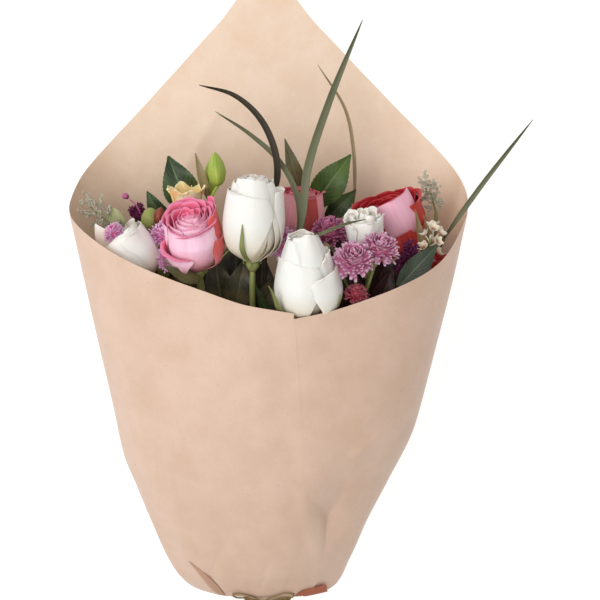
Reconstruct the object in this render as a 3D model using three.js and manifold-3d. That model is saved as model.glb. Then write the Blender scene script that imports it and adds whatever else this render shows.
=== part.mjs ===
// A mixed flower bouquet in a kraft paper wrap, tied with twine and laid on its back.
// Millimetres. +Z is up, +Y runs from the tie towards the point of the paper, and +X is to the right of
// someone who looks down on it. The origin is on the flat spot of the paper's back, where the bouquet rests.
import * as THREE from "three";
import { mergeVertices } from "three/addons/utils/BufferGeometryUtils.js";
import Module from "manifold-3d";

const wasm = await Module();
wasm.setup();

// The wrap. Distances s are measured along +Y from the tie, and degrees round it from the front's middle,
// over the right. Past 360 is the lap, which lies on the sheet's first edge.
const TIE_Y = -222;
const TIE_Z = 45;
const PAPER = 1;
const INNER_EDGE_DEG = -40;
const LAP_LIFT = 1.9;
// The mesh of the sheet: distances s up to the shoulder, then shares of the way from there to the rim.
const PAPER_ROWS_LOW = [-60, -34, -6, -2, 8, 10.5, 14, 20, 33];
const PAPER_ROWS_HIGH = [0.1, 0.26, 0.44, 0.62, 0.81, 1];
const PAPER_COLUMNS = 36;
// Pleats that the tie gathers: how many, how much they swell the body and the tail, and how soon they fade.
const PLEATS = { count: 11, body: 0.1, tail: 0.3, depth: 5.5, reach: 60, fade: 16, middle: 3 };
// How far the sides hang lower than the tie, and where along s.
const LOBE = { drop: 5, middle: 14, reach: 14, start: 8 };
// [s, value] stations: half widths to the left and right, heights of the front, the back and the widest place.
const HALF_LEFT = [[-60, 43], [-34, 29], [-6, 16], [-2, 15.5], [8, 15.5], [10.5, 31], [14, 45], [20, 59],
  [33, 71], [66, 85], [98, 97], [120, 105], [161, 112], [222, 124], [281, 134], [310, 139], [470, 146]];
const HALF_RIGHT = [[-60, 43], [-34, 29], [-6, 16], [-2, 15.5], [8, 15.5], [10.5, 31], [14, 43], [20, 54],
  [33, 62], [66, 76], [98, 91], [138, 109], [161, 115], [222, 128], [281, 141], [310, 146], [470, 150]];
const FRONT_Z = [[-60, 78], [-34, 70], [-6, 61], [-2, 60.5], [8, 60.5], [12, 67], [17, 73], [24, 80], [33, 88],
  [66, 107], [114, 127], [161, 139], [238, 152], [310, 164], [470, 164]];
const BACK_Z = [[-60, 1], [-34, 14], [-6, 29], [-2, 29.5], [8, 29.5], [10.5, 20], [14, 11], [20, 4], [30, 0],
  [470, 0]];
const WIDEST_Z = [[-60, 42], [0, 45], [33, 50], [114, 60], [238, 76], [300, 82], [316, 66], [340, 42],
  [380, 20], [420, 12], [470, 8]];
// [degrees, s] of the rim, with its point at 180, and [s, degrees] of the lap's own long edge.
const RIM = [[-40, 214], [9, 237.5], [22, 242.5], [35, 250.5], [49, 259.5], [57, 265], [65, 272.5], [72, 283],
  [80, 296], [88, 307], [104, 322], [120, 340], [135, 363], [150, 394], [165, 431], [180, 469], [195, 431],
  [210, 394], [225, 363], [240, 340], [256, 322], [272, 306], [302, 287], [326, 269], [341, 258], [356, 247],
  [400, 230]];
const LAP_EDGE_DEG = [[-60, 398], [0, 400], [30, 398], [100, 378], [238, 369]];

// The twine. Its loops and ends pass the points [x, s, height over the paper].
const TWINE_R = 0.75;
const TWINE_WRAPS = [2.6, 4, 5.4];
const KNOT = { x: -3, s: 4.5, half: 2.6, profile: [[0, -2.6], [2.6, -1.6], [3.6, 0.3], [2.4, 2], [0, 2.6]] };
const BOW_LOOPS = [
  [[-8, 9.5, 4], [-14, 14, 2.4], [-20, 16, 2], [-25, 14.5, 2.2], [-23, 12, 3.6], [-14, 9.5, 5]],
  [[2, 9.5, 4], [8, 14, 2.4], [14, 16.5, 2], [20, 15, 2.2], [19, 12, 3.6], [9, 9.5, 5]],
];
const TWINE_ENDS = [
  [[-7.5, 1, 2.6], [-10, -6, 2], [-12, -18, 1.9], [-12, -31, 1.9], [-16, -44, 1.9]],
  [[1.5, 1, 2.6], [4, -6, 2], [6, -18, 1.9], [10, -31, 1.9], [9, -44, 1.9]],
];

// The bundle. TAIL_SPREAD is [s, width over that at the tie] down to the cut ends of the stems. Above the tie a
// stem fans out to its flower, and AIM says how a flower's place picks the stem's slot in the bundle.
const TAIL_SPREAD = [[-74, 1.4], [-6, 1]];
const STEM_R = 2.05;
const STEM_SIDES = 5;
const SLOT_PITCH = 4.4;
const FAN = { start: 8, length: 250, power: 1.2, stations: [8, 28, 80, 160] };
const AIM = { x: 1 / 9, z: 1 / 4.5, rise: 42 };
const NECK = 14;
const GAP = 0.3;
const BLADE = 0.8;

// Every stem: where its bloom or spray starts, and the direction in which that grows.
const STEMS = {
  rose_white_tall: { base: [-8, 50, 116], grow: [0.02, 0.99, 0.08] },
  rose_white_front: { base: [30.5, 12, 129], grow: [-0.07, 0.98, 0.17] },
  rose_pink_left: { base: [-46.5, 43, 110], grow: [-0.14, 0.95, 0.2] },
  rose_pink_back: { base: [23.5, 51, 72], grow: [0, 0.99, 0.1] },
  rose_coral_right: { base: [97, 51, 57], grow: [-0.3, 0.85, 0.3] },
  lisianthus_right: { base: [72, 54, 104], grow: [-0.1, 0.95, 0.22] },
  lisianthus_left: { base: [-82, 36, 104], grow: [-0.55, 0.8, 0.14] },
  alstroemeria: { base: [-56, 68, 75], grow: [0, 0.97, 0.1] },
  mum_left: { base: [-72, 30, 84], grow: [0, 0.99, 0.1] },
  mum_centre: { base: [12, 40, 92], grow: [0, 0.99, 0.1] },
  mum_right: { base: [66, 14, 114], grow: [0.1, 0.97, 0.1] },
  limonium_left: { base: [-102, 62, 74], grow: [-0.5, 0.86, 0.05] },
  limonium_right: { base: [124, 76, 56], grow: [0.05, 0.99, 0] },
  waxflower: { base: [113, 50, 98], grow: [0.15, 0.98, 0] },
  freesia_red: { base: [118, 26, 84], grow: [0.25, 0.95, 0.15] },
  statice_left: { base: [-89, 70, 71], grow: [-0.1, 0.98, 0.05] },
  statice_right: { base: [98, 34, 101], grow: [0.1, 0.98, 0.1] },
  bud_left: { base: [-81, 67, 82], grow: [-0.05, 0.98, 0.1] },
  grass_left: { base: [0, 84, 84], grow: [0, 0.99, 0.1] },
  grass_centre: { base: [23, 60, 106], grow: [0, 0.99, 0] },
  grass_back: { base: [64, 80, 41], grow: [0, 0.99, 0] },
  grass_right: { base: [128, 60, 76], grow: [0.4, 0.9, 0] },
  foliage_left: { base: [-62, 62, 52], grow: [-0.3, 0.95, 0] },
  foliage_centre: { base: [30, 64, 46], grow: [0.1, 0.99, 0] },
  foliage_right: { base: [90, 8, 108], grow: [0.2, 0.95, 0] },
  foliage_front: { base: [-26, 0, 112], grow: [0, 0.99, 0] },
};

// The blooms. open says how far the outer petals lean out, from 0 to 1, and sepal where the first one stands.
const ROSES = {
  rose_white_tall: { radius: 21.5, height: 62, open: 0.05, sepal: 0.1, paint: "white" },
  rose_white_front: { radius: 24, height: 60, open: 0.3, sepal: 1.15, paint: "white" },
  rose_pink_left: { radius: 20, height: 50, open: 0.15, sepal: 1.15, paint: "pink" },
  rose_pink_back: { radius: 18.5, height: 46, open: 0.2, sepal: 1.15, paint: "pink" },
  rose_coral_right: { radius: 25.5, height: 37, open: 0.5, sepal: 1.15, paint: "coral" },
};
const LISIANTHUS = {
  lisianthus_right: { radius: 15, height: 32 },
  lisianthus_left: { radius: 16, height: 40 },
};
const ALSTROEMERIA = {
  tiers: 2,
  radius: 14.5,
  height: 28,
  rise: 6,
  buds: [
    { base: [-33.5, 98, 80], grow: [-0.08, 0.99, 0.05], radius: 6.4, length: 25 },
    { base: [-39, 89, 63], grow: [-0.1, 0.98, 0], radius: 4.4, length: 24 },
  ],
};
const FREESIA = { radius: 9.5, height: 30, tiers: 1 };
const ROUND_BUD = [[0, 0], [4.4, 1.5], [7, 8], [4.6, 14], [0, 17]];
const MUMS = {
  mum_left: [
    { base: [-73, 62, 99], grow: [-0.1, 0.95, 0.3], radius: 10.5, height: 13, paint: "lilac" },
    { base: [-70, 49.5, 108], grow: [-0.1, 0.6, 0.75], radius: 8, height: 9.5, paint: "lilac" },
  ],
  mum_centre: [{ base: [16.5, 49.5, 93.5], grow: [0, 0.86, 0.5], radius: 12.5, height: 14, paint: "lilac" }],
  mum_right: [
    { base: [63, 50, 131], grow: [0, 0.72, 0.7], radius: 13, height: 14, paint: "lilac" },
    { base: [83, 57, 127], grow: [0.3, 0.85, 0.4], radius: 10, height: 11, paint: "lilac" },
    { base: [46, 66, 100], grow: [-0.1, 0.92, 0.3], radius: 11, height: 12, paint: "plum" },
    { base: [63.5, 24, 133], grow: [0.1, 0.9, 0.3], radius: 8.5, height: 10, paint: "plum" },
  ],
};
// A mum's rings, from its foot up: [radius, height, depth of the cuts, 1 where the points are set over].
const POMPON_POINTS = 6;
const POMPON_RINGS = [[0.3, 0, 0, 0], [1, 0.14, 0.34, 0], [0.96, 0.24, 0.34, 0], [0.5, 0.36, 0, 0],
  [0.86, 0.55, 0.36, 1], [0.8, 0.65, 0.36, 1], [0.38, 0.72, 0, 0], [0.52, 0.94, 0.4, 0], [0.36, 1, 0.3, 0]];
// Sprays of small cups: the tip of the spray, how many cups, the length of a stalk, and a cup's size.
const CUP_SPRAYS = {
  limonium_left: { tip: [-126, 84, 78], count: 6, stalk: 8.5, radius: 4.4, length: 6, paint: "grey" },
  limonium_right: { tip: [124, 100, 60], count: 5, stalk: 8, radius: 4.4, length: 6, paint: "grey" },
  waxflower: { tip: [119, 68, 101], count: 3, stalk: 8, radius: 5, length: 7, paint: "white" },
  statice_left: { tip: [-93, 84, 72], count: 3, stalk: 4.5, radius: 4, length: 4.5, paint: "plum" },
  statice_right: { tip: [103, 56, 104], count: 4, stalk: 4.5, radius: 4, length: 5, paint: "plum" },
};
// Grass blades: half width, and the points that the blade passes after the end of its stem.
const GRASSES = {
  grass_left: [{ half: 2.6, by: [[5, 100, 89], [6, 122, 94], [-2, 146, 92], [-21, 163, 85], [-46, 170, 80]] }],
  grass_centre: [
    { half: 3.2, by: [[27, 80, 107], [30, 111, 100], [46, 160, 86], [69, 215, 72]] },
    { half: 2.2, by: [[24, 90, 104], [11, 116, 86], [-10, 135, 80], [-35, 151, 75]] },
  ],
  grass_back: [{ half: 2, by: [[65, 92, 43], [64, 121, 41], [58, 150, 38], [38, 182, 33]] }],
  grass_right: [{ half: 2.4, by: [[137, 76, 86], [155, 102, 88], [189, 146, 85]] }],
};
// Leaves: base, tip, the way the upper face looks, half width, and how far the blade arches over its length.
const LEAVES = {
  foliage_left: [
    { base: [-58, 78, 60], tip: [-74, 118, 60], face: [0.1, -0.2, 1], half: 13, bow: 0.12 },
    { base: [-68, 66, 54], tip: [-86, 92, 56], face: [-0.2, -0.3, 1], half: 8, bow: 0.12 },
  ],
  foliage_centre: [
    { base: [28, 84, 51], tip: [14, 130, 56], face: [0, 0, 1], half: 6, bow: 0.12 },
    { base: [34, 80, 46], tip: [62, 118, 48], face: [-0.2, -0.3, 1], half: 12, bow: 0.12 },
    { base: [44, 70, 46], tip: [66, 92, 46], face: [0, 0, 1], half: 7, bow: 0.12 },
  ],
  foliage_right: [
    { base: [95, 28, 115], tip: [122, 60, 108], face: [0.5, -0.3, 1], half: 8, bow: 0.06 },
    { base: [78, 10, 104], tip: [90, 44, 106], face: [0.2, 0, 1], half: 8, bow: 0.06 },
    { base: [62, 8, 98], tip: [60, 46, 96], face: [0, 0, 1], half: 9, bow: 0.06 },
  ],
  foliage_front: [
    { base: [-38, 2, 88], tip: [-66, 40, 90], face: [-0.1, 0, 1], half: 11, bow: 0.06 },
    { base: [-30, 6, 84], tip: [-36, 50, 86], face: [0, 0, 1], half: 11, bow: 0.08 },
    { base: [-22, 8, 90], tip: [-14, 48, 88], face: [0, 0, 1], half: 10, bow: 0.08 },
    { base: [-8, -4, 78], tip: [10, 34, 74], face: [0.1, 0, 1], half: 11, bow: 0.06 },
  ],
};
// Colour and roughness of every paint.
const PAINT = {
  kraft: [0xcfa27d, 0.85],
  twine: [0x9c8660, 0.9],
  white: [0xf4efe4, 0.6],
  pink: [0xd76f95, 0.6],
  coral: [0xcf4a55, 0.6],
  yellow: [0xe8b75a, 0.6],
  lilac: [0xc27fc0, 0.7],
  plum: [0x7d2c62, 0.7],
  stem: [0x6f8a45, 0.6],
  leaf: [0x35512f, 0.55],
  grass: [0x5c6f4a, 0.55],
  grey: [0x98a08c, 0.8],
};

const V = (x, y, z) => new THREE.Vector3(x, y, z);
const UP = V(0, 0, 1);
const rad = THREE.MathUtils.degToRad;
const mix = THREE.MathUtils.lerp;
const clamp01 = (t) => Math.min(1, Math.max(0, t));
const ease = (t) => clamp01(t) ** 2 * (3 - 2 * clamp01(t));

// A smooth function through [place, value] stations, which never overshoots between two of them.
function through(stations) {
  const n = stations.length;
  const slope = (i) => (stations[i + 1][1] - stations[i][1]) / (stations[i + 1][0] - stations[i][0]);
  const tangent = stations.map((_, i) => {
    if (i === 0) return slope(0);
    if (i === n - 1) return slope(n - 2);
    const [before, after] = [slope(i - 1), slope(i)];
    return before * after <= 0 ? 0 : (2 * before * after) / (before + after);
  });
  return (place) => {
    let i = 0;
    while (i < n - 2 && place > stations[i + 1][0]) i++;
    const width = stations[i + 1][0] - stations[i][0];
    const t = clamp01((place - stations[i][0]) / width);
    const [a, b] = [stations[i][1], stations[i + 1][1]];
    return (
      a * (1 + 2 * t) * (1 - t) ** 2 +
      b * t * t * (3 - 2 * t) +
      width * (tangent[i] * t * (1 - t) ** 2 + tangent[i + 1] * t * t * (t - 1))
    );
  };
}

// A closed mesh from points and triangles, turned so that its faces point out.
function closedMesh(points, triangles) {
  const position = new Float32Array(points.flatMap((p) => [p.x, p.y, p.z]));
  let volume = 0;
  for (const [a, b, c] of triangles) volume += points[a].dot(points[b].clone().cross(points[c]));
  const index = triangles.flatMap(([a, b, c]) => (volume < 0 ? [a, c, b] : [a, b, c]));
  const geometry = new THREE.BufferGeometry();
  geometry.setAttribute("position", new THREE.BufferAttribute(position, 3));
  geometry.setIndex(index);
  return geometry;
}

// A thin sheet of even thickness round the surface place(u, v), with u and v from 0 to 1. Its outer face, on
// the side of u cross v, keeps above the floor.
function sheet(place, across, along, thickness, floor = -Infinity) {
  const at = [];
  for (let j = 0; j <= along; j++)
    for (let i = 0; i <= across; i++) at.push(place(i / across, j / along, j));
  const id = (i, j) => j * (across + 1) + i;
  const normals = at.map((_, k) => {
    const [i, j] = [k % (across + 1), Math.floor(k / (across + 1))];
    const du = at[id(Math.min(across, i + 1), j)].clone().sub(at[id(Math.max(0, i - 1), j)]);
    const dv = at[id(i, Math.min(along, j + 1))].clone().sub(at[id(i, Math.max(0, j - 1))]);
    return du.cross(dv).normalize();
  });
  const side = (sign) =>
    at.map((p, k) => {
      const moved = p.clone().addScaledVector(normals[k], (sign * thickness) / 2);
      moved.z = Math.max(moved.z, sign > 0 ? floor : floor + thickness);
      return moved;
    });
  const points = [...side(1), ...side(-1)];
  const under = at.length;
  const triangles = [];
  for (let j = 0; j < along; j++)
    for (let i = 0; i < across; i++) {
      const [a, b, c, d] = [id(i, j), id(i + 1, j), id(i + 1, j + 1), id(i, j + 1)];
      triangles.push([a, b, c], [a, c, d]);
      triangles.push([under + a, under + c, under + b], [under + a, under + d, under + c]);
    }
  const border = [];
  for (let i = 0; i < across; i++) border.push([id(i, 0), id(i + 1, 0)]);
  for (let j = 0; j < along; j++) border.push([id(across, j), id(across, j + 1)]);
  for (let i = across; i > 0; i--) border.push([id(i, along), id(i - 1, along)]);
  for (let j = along; j > 0; j--) border.push([id(0, j), id(0, j - 1)]);
  for (const [a, b] of border) triangles.push([under + a, under + b, b], [under + a, b, a]);
  return closedMesh(points, triangles);
}

// A tube along a smooth line through points, whose radius follows radiusAt(0 to 1). A looped one closes on
// itself.
function tube(points, radiusAt, sides, steps, looped = false) {
  const line = new THREE.CatmullRomCurve3(points, looped, "centripetal");
  const ring = [];
  let normal = V(0.31, 0.2, 0.93);
  for (let j = 0; j < (looped ? steps : steps + 1); j++) {
    const centre = line.getPoint(j / steps);
    const way = line.getTangent(j / steps);
    normal = normal.addScaledVector(way, -normal.dot(way)).normalize();
    const other = way.clone().cross(normal);
    for (let i = 0; i < sides; i++) {
      const turn = (2 * Math.PI * i) / sides;
      const out = normal.clone().multiplyScalar(Math.cos(turn)).addScaledVector(other, Math.sin(turn));
      ring.push(centre.clone().addScaledVector(out, radiusAt(j / steps)));
    }
  }
  const triangles = [];
  for (let j = 0; j < steps; j++)
    for (let i = 0; i < sides; i++) {
      const next = (i + 1) % sides;
      const [here, there] = [j * sides, (looped ? (j + 1) % steps : j + 1) * sides];
      triangles.push([here + i, here + next, there + next], [here + i, there + next, there + i]);
    }
  if (!looped)
    for (let i = 1; i < sides - 1; i++) {
      triangles.push([0, i + 1, i]);
      triangles.push([steps * sides, steps * sides + i, steps * sides + i + 1]);
    }
  return closedMesh(ring, triangles);
}

// A solid of revolution about its own z, from [radius, z] pairs that start and end on the axis.
function turned(profile, sides) {
  const outline = profile.map(([r, z]) => new THREE.Vector2(r, z));
  return new THREE.LatheGeometry(outline, sides).rotateX(Math.PI / 2);
}

function toSolid(geometry) {
  const bare = geometry.index ? geometry.toNonIndexed() : geometry.clone();
  const positions = new THREE.BufferGeometry().setAttribute("position", bare.getAttribute("position"));
  const merged = mergeVertices(positions, 1e-4);
  const mesh = new wasm.Mesh({
    numProp: 3,
    vertProperties: merged.attributes.position.array,
    triVerts: new Uint32Array(merged.index.array),
  });
  return new wasm.Manifold(mesh);
}

// One body out of several that run into each other. A scrap that stays apart is dropped.
function fused(geometries) {
  const whole = geometries.map(toSolid).reduce((sum, next) => sum.add(next));
  const largest = whole.decompose().sort((a, b) => b.volume() - a.volume())[0];
  const mesh = largest.getMesh();
  const geometry = new THREE.BufferGeometry();
  geometry.setAttribute("position", new THREE.BufferAttribute(mesh.vertProperties, 3));
  geometry.setIndex(new THREE.BufferAttribute(mesh.triVerts, 1));
  return geometry;
}

// The turn and place that carry a piece made along its own +Z onto a point, to grow along a direction.
// The piece's +X faces up, towards +Z, as far as it can.
function standing(base, direction) {
  const grow = direction.clone().normalize();
  const face = UP.clone().addScaledVector(grow, -UP.dot(grow)).normalize();
  const across = grow.clone().cross(face);
  return new THREE.Matrix4().makeBasis(face, across, grow).setPosition(base);
}

const bouquet = new THREE.Group();

function addNode(name, geometry, paint) {
  const [color, roughness] = PAINT[paint];
  const mesh = new THREE.Mesh(geometry, new THREE.MeshStandardMaterial({ color, roughness, metalness: 0 }));
  mesh.name = name;
  bouquet.add(mesh);
}

// The paper. One sheet runs from under the lap, right round the back, to the lap's edge on the front.
const halfLeft = through(HALF_LEFT);
const halfRight = through(HALF_RIGHT);
const frontZ = through(FRONT_Z);
const backZ = through(BACK_Z);
const widestZ = through(WIDEST_Z);
const rimAt = through(RIM);
const lapEdge = through(LAP_EDGE_DEG);

function paperPoint(degrees, s) {
  const turn = rad(degrees);
  const [side, front] = [Math.sin(turn), Math.cos(turn)];
  const lift = LAP_LIFT * ease((degrees - 285) / 30);
  const fromTie = Math.abs(s - PLEATS.middle);
  const flattened = 1 - 0.85 * ease((front - 0.3) / 0.4);
  const pleated = PLEATS.depth * (fromTie / PLEATS.reach) ** 2 * Math.exp(-fromTie / PLEATS.fade) * flattened;
  const swell = 1 + (s < 0 ? PLEATS.tail : PLEATS.body) * pleated * (1 + Math.cos(PLEATS.count * turn));
  const half = (side > 0 ? halfRight(s) : halfLeft(s)) + lift;
  const middle = widestZ(s);
  const bulge = 1.02 * (1 - (1 - Math.abs(front)) ** 2);
  const above = middle + (frontZ(s) + lift - middle) * front * swell;
  const below = middle - (middle - backZ(s)) * Math.min(1, bulge);
  const lobed = Math.exp(-(((s - LOBE.middle) / LOBE.reach) ** 2)) * clamp01((s - LOBE.start) / 3);
  const hung = LOBE.drop * side ** 2 * lobed;
  return V(half * side * swell, TIE_Y + s - hung, (front > 0 ? above : below) + PAPER / 2);
}

// Degrees round the sheet at a distance s, for u from 0 to 1. The middle column runs up the back to the point.
function degreesAt(u, s) {
  return u < 0.5 ? mix(INNER_EDGE_DEG, 180, 2 * u) : mix(180, lapEdge(s), 2 * u - 1);
}

function paperSheet() {
  const shoulder = PAPER_ROWS_LOW.at(-1);
  const place = (u, v, row) => {
    const low = PAPER_ROWS_LOW[row];
    if (low !== undefined) return paperPoint(degreesAt(u, low), low);
    const share = PAPER_ROWS_HIGH[row - PAPER_ROWS_LOW.length];
    let s = shoulder;
    for (let pass = 0; pass < 4; pass++) s = mix(shoulder, rimAt(degreesAt(u, s)), share);
    return paperPoint(degreesAt(u, s), s);
  };
  return sheet(place, PAPER_COLUMNS, PAPER_ROWS_LOW.length + PAPER_ROWS_HIGH.length - 1, PAPER, 0);
}
addNode("paper_wrap", paperSheet(), "kraft");

// A point on the front of the wrap, with some height above it.
function overFront(x, s, above) {
  const half = (x > 0 ? halfRight(s) : halfLeft(s)) + LAP_LIFT;
  const turn = Math.asin(THREE.MathUtils.clamp(x / half, -0.98, 0.98));
  return paperPoint(360 + THREE.MathUtils.radToDeg(turn), s).add(V(0, 0, PAPER / 2 + above));
}

// One wrap of the twine round the waist, just clear of the paper and of the step at the lap's edge.
function twineRing(s) {
  const count = 14;
  const points = Array.from({ length: count }, (_, k) => {
    const degrees = 40 + (360 * k) / count;
    const turn = rad(degrees);
    const overLap = degrees < 285 ? LAP_LIFT * (1 - ease((degrees - 40) / 60)) : 0;
    const out = PAPER / 2 + TWINE_R + 2 * GAP + overLap;
    return paperPoint(degrees, s).addScaledVector(V(Math.sin(turn), 0, Math.cos(turn)), out);
  });
  return tube(points, () => TWINE_R, 4, count, true);
}

// The twine: its wraps and bow are one body, and its two ends are one each.
function addTwine() {
  const knotAt = overFront(KNOT.x, KNOT.s, GAP + KNOT.half);
  const knot = turned(KNOT.profile, 7).translate(...knotAt.toArray());
  const loops = BOW_LOOPS.map((by) => {
    const points = by.map(([x, s, above]) => overFront(x, s, above));
    return tube([knotAt, ...points, knotAt.clone().add(V(0, -TWINE_R, 0))], () => TWINE_R, 4, 10);
  });
  addNode("twine_bow", fused([...TWINE_WRAPS.map(twineRing), knot, ...loops]), "twine");
  TWINE_ENDS.forEach((by, k) => {
    const end = tube(by.map(([x, s, above]) => overFront(x, s, above)), () => TWINE_R, 5, 8);
    addNode(`twine_end_${k + 1}`, end, "twine");
  });
}
addTwine();

// The bundle. Every stem has its own slot in a hexagonal bundle at the tie, on the same side as its flower, so
// that no two cross on the way.
const stems = Object.entries(STEMS).map(([name, { base, grow }]) => {
  return { name, base: V(...base), grow: V(...grow).normalize() };
});
const stemNamed = (name) => stems.find((stem) => stem.name === name);

// How far a stem has spread from its slot, as a share of its spread one fan length above the tie.
const spread = (s) => Math.max(0, (s - FAN.start) / FAN.length) ** FAN.power;

// Slots of the bundle, nearest the middle first.
function slots(count) {
  const found = [];
  for (let q = -4; q <= 4; q++)
    for (let r = -4; r <= 4; r++)
      found.push([SLOT_PITCH * (q + r / 2), (SLOT_PITCH * r * Math.sqrt(3)) / 2]);
  found.sort((a, b) => Math.hypot(...a) - Math.hypot(...b) || a[0] - b[0] || a[1] - b[1]);
  return found.slice(0, count);
}

// Gives every stem a slot, and swaps two stems wherever that brings both nearer to where they aim.
function shareSlots() {
  const free = slots(stems.length);
  const aims = stems.map(({ base }) => {
    const fan = spread(base.y - TIE_Y);
    return [(base.x / fan) * AIM.x, ((base.z - TIE_Z) / fan - AIM.rise) * AIM.z];
  });
  const cost = (i, j) => Math.hypot(aims[i][0] - free[j][0], aims[i][1] - free[j][1]) ** 2;
  const own = stems.map((_, i) => i);
  for (let swapped = true; swapped; ) {
    swapped = false;
    for (let i = 0; i < own.length; i++)
      for (let j = i + 1; j < own.length; j++)
        if (cost(i, own[j]) + cost(j, own[i]) < cost(i, own[i]) + cost(j, own[j]) - 1e-6) {
          [own[i], own[j]] = [own[j], own[i]];
          swapped = true;
        }
  }
  stems.forEach((stem, i) => {
    stem.slot = free[own[i]];
  });
}
shareSlots();

// The line of a stem, from its cut end to where its bloom or spray starts.
function stemLine({ base, grow, slot }) {
  const [slotX, slotZ] = [slot[0], TIE_Z + slot[1]];
  const neck = base.clone().addScaledVector(grow, -NECK);
  const fan = spread(neck.y - TIE_Y);
  const at = (s) => {
    const share = spread(s) / fan;
    return V(mix(slotX, neck.x, share), TIE_Y + s, mix(slotZ, neck.z, share));
  };
  const below = TAIL_SPREAD.map(([s, open]) => V(slot[0] * open, TIE_Y + s, TIE_Z + slot[1] * open));
  const above = FAN.stations.filter((s) => s < base.y - TIE_Y - 2 * NECK).map(at);
  return [...below, ...above, neck, base];
}

function stemTube(stem, topRadius) {
  const line = stemLine(stem);
  return tube(line, (t) => mix(STEM_R, topRadius, ease(t * 1.2 - 0.2)), STEM_SIDES, line.length - 1);
}

// A leaf from its base to its tip, folded up a little along its midrib, with a waved edge.
function leaf({ base, tip, face, half, bow }) {
  const run = V(...tip).sub(V(...base));
  const length = run.length();
  const grow = run.clone().normalize();
  const out = V(...face).addScaledVector(grow, -V(...face).dot(grow)).normalize();
  const across = grow.clone().cross(out);
  const place = (u, v) => {
    const from = u * 2 - 1;
    const wide = half * (0.1 + 0.9 * Math.sin(Math.PI * (0.06 + 0.92 * v) ** 0.85));
    const wave = 0.08 * half * Math.sin(11 * v + 2 * from) * Math.abs(from);
    return V(...base)
      .addScaledVector(grow, length * v)
      .addScaledVector(out, length * bow * Math.sin(Math.PI * v) + 0.25 * wide * Math.abs(from) + wave)
      .addScaledVector(across, wide * from);
  };
  return sheet(place, 2, 4, BLADE);
}

// A cupped petal of a bloom that stands along +Z. It is half an angle wide each way from its middle, swells
// from its foot to its belly, and leans out, curls over and narrows towards its tip.
function petal({ middle, half, foot, belly, height, flare, curl, taper = 0.2, ruffle = 0, across }) {
  const place = (u, v) => {
    const from = u * 2 - 1;
    const wide = 0.42 + 0.58 * Math.sin(Math.PI * 0.5 * Math.min(1, v / 0.55));
    const turn = middle + half * from * wide;
    const open = clamp01((v - 0.55) / 0.45) ** 2;
    const wavy = ruffle * v * v * Math.sin(from * 6 + middle * 5);
    const radius = mix(foot, belly, Math.sin(Math.PI * 0.5 * Math.min(1, v / 0.5))) + flare * open + wavy;
    const z = height * (v - taper * v ** 3 * from * from) - curl * open * v;
    return V(radius * Math.cos(turn), radius * Math.sin(turn), z);
  };
  return sheet(place, across, 3, BLADE);
}

// The calyx under a bloom: a small green cup, with narrow sepals that stand clear of the petals.
function calyx({ sepals, length, belly, height, lean, start }) {
  const cup = turned([[0, -7], [2.4, -7], [5, -3], [4.2, -GAP], [0, -GAP]], 7);
  const strips = Array.from({ length: sepals }, (_, k) => {
    const middle = start + (2 * Math.PI * k) / sepals;
    const place = (u, v) => {
      const z = mix(-2.6, length, v);
      const share = clamp01((z + 1.5) / height);
      const hug = mix(3, belly, Math.sin(Math.PI * 0.5 * Math.min(1, 2 * share)));
      const radius = Math.max(4.2, hug + 2 * BLADE + lean * v * v + 1.4 * clamp01(v * 3));
      const turn = middle + ((u * 2 - 1) * 2.6 * (1 - 0.8 * v)) / Math.max(radius, 5);
      return V(radius * Math.cos(turn), radius * Math.sin(turn), z);
    };
    return sheet(place, 1, 3, BLADE);
  });
  return [cup, ...strips];
}

// Rings of petals round a closed heart, as one body.
function bloom(heart, rings) {
  const petals = rings.flatMap(({ count, start, ...shape }) =>
    Array.from({ length: count }, (_, k) => petal({ middle: start + (2 * Math.PI * k) / count, ...shape })),
  );
  return fused([turned(heart, 5), ...petals]);
}

function roseBloom({ radius, height, open }) {
  const r = radius - 1.5;
  const heart = [[0, 0], [5.6, 0], [r * 0.46, height * 0.35], [r * 0.44, height * 0.8], [0, height * 0.9]];
  const inner = { count: 3, start: 0.4, half: 0.98, foot: 3, belly: r * 0.7, height, across: 2 };
  const outer = { count: 5, start: 0.2, half: 0.6, foot: 5, belly: r * 0.96, height: height * 0.95, across: 3 };
  return bloom(heart, [
    { ...inner, flare: 2 * open - 1, curl: 0 },
    { ...outer, flare: 2.5 + 4 * open, curl: 3 + 5 * open },
  ]);
}

function lisianthusBloom({ radius, height }) {
  const heart = [[0, 0], [4.6, 0], [radius * 0.34, height * 0.5], [0, height * 0.8]];
  const edge = { taper: 0.1, ruffle: 1.3, across: 3 };
  const inner = { count: 3, start: 0.5, half: 0.9, foot: 2.4, belly: radius * 0.55, height: height * 0.96 };
  const outer = { count: 4, start: 0, half: 0.72, foot: 4, belly: radius * 0.8, height };
  return bloom(heart, [
    { ...inner, flare: 1.5, curl: 0, ...edge, across: 2 },
    { ...outer, flare: 3, curl: 1, ...edge },
  ]);
}

// A funnel of three pointed petals, or of six with every other one narrower.
function funnelBloom({ radius, height, tiers }) {
  const throat = [[0, 0], [2.2, 0], [3.4, height * 0.3], [0, height * 0.42]];
  const shape = { count: 3, foot: 2, belly: radius * 0.62, height, flare: radius * 0.38, curl: 2, taper: 0.3 };
  const rings = [
    { ...shape, start: 0, half: 0.56, across: 2 },
    { ...shape, start: Math.PI / 3, half: 0.42, across: 2 },
  ];
  return bloom(throat, rings.slice(0, tiers));
}

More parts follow.
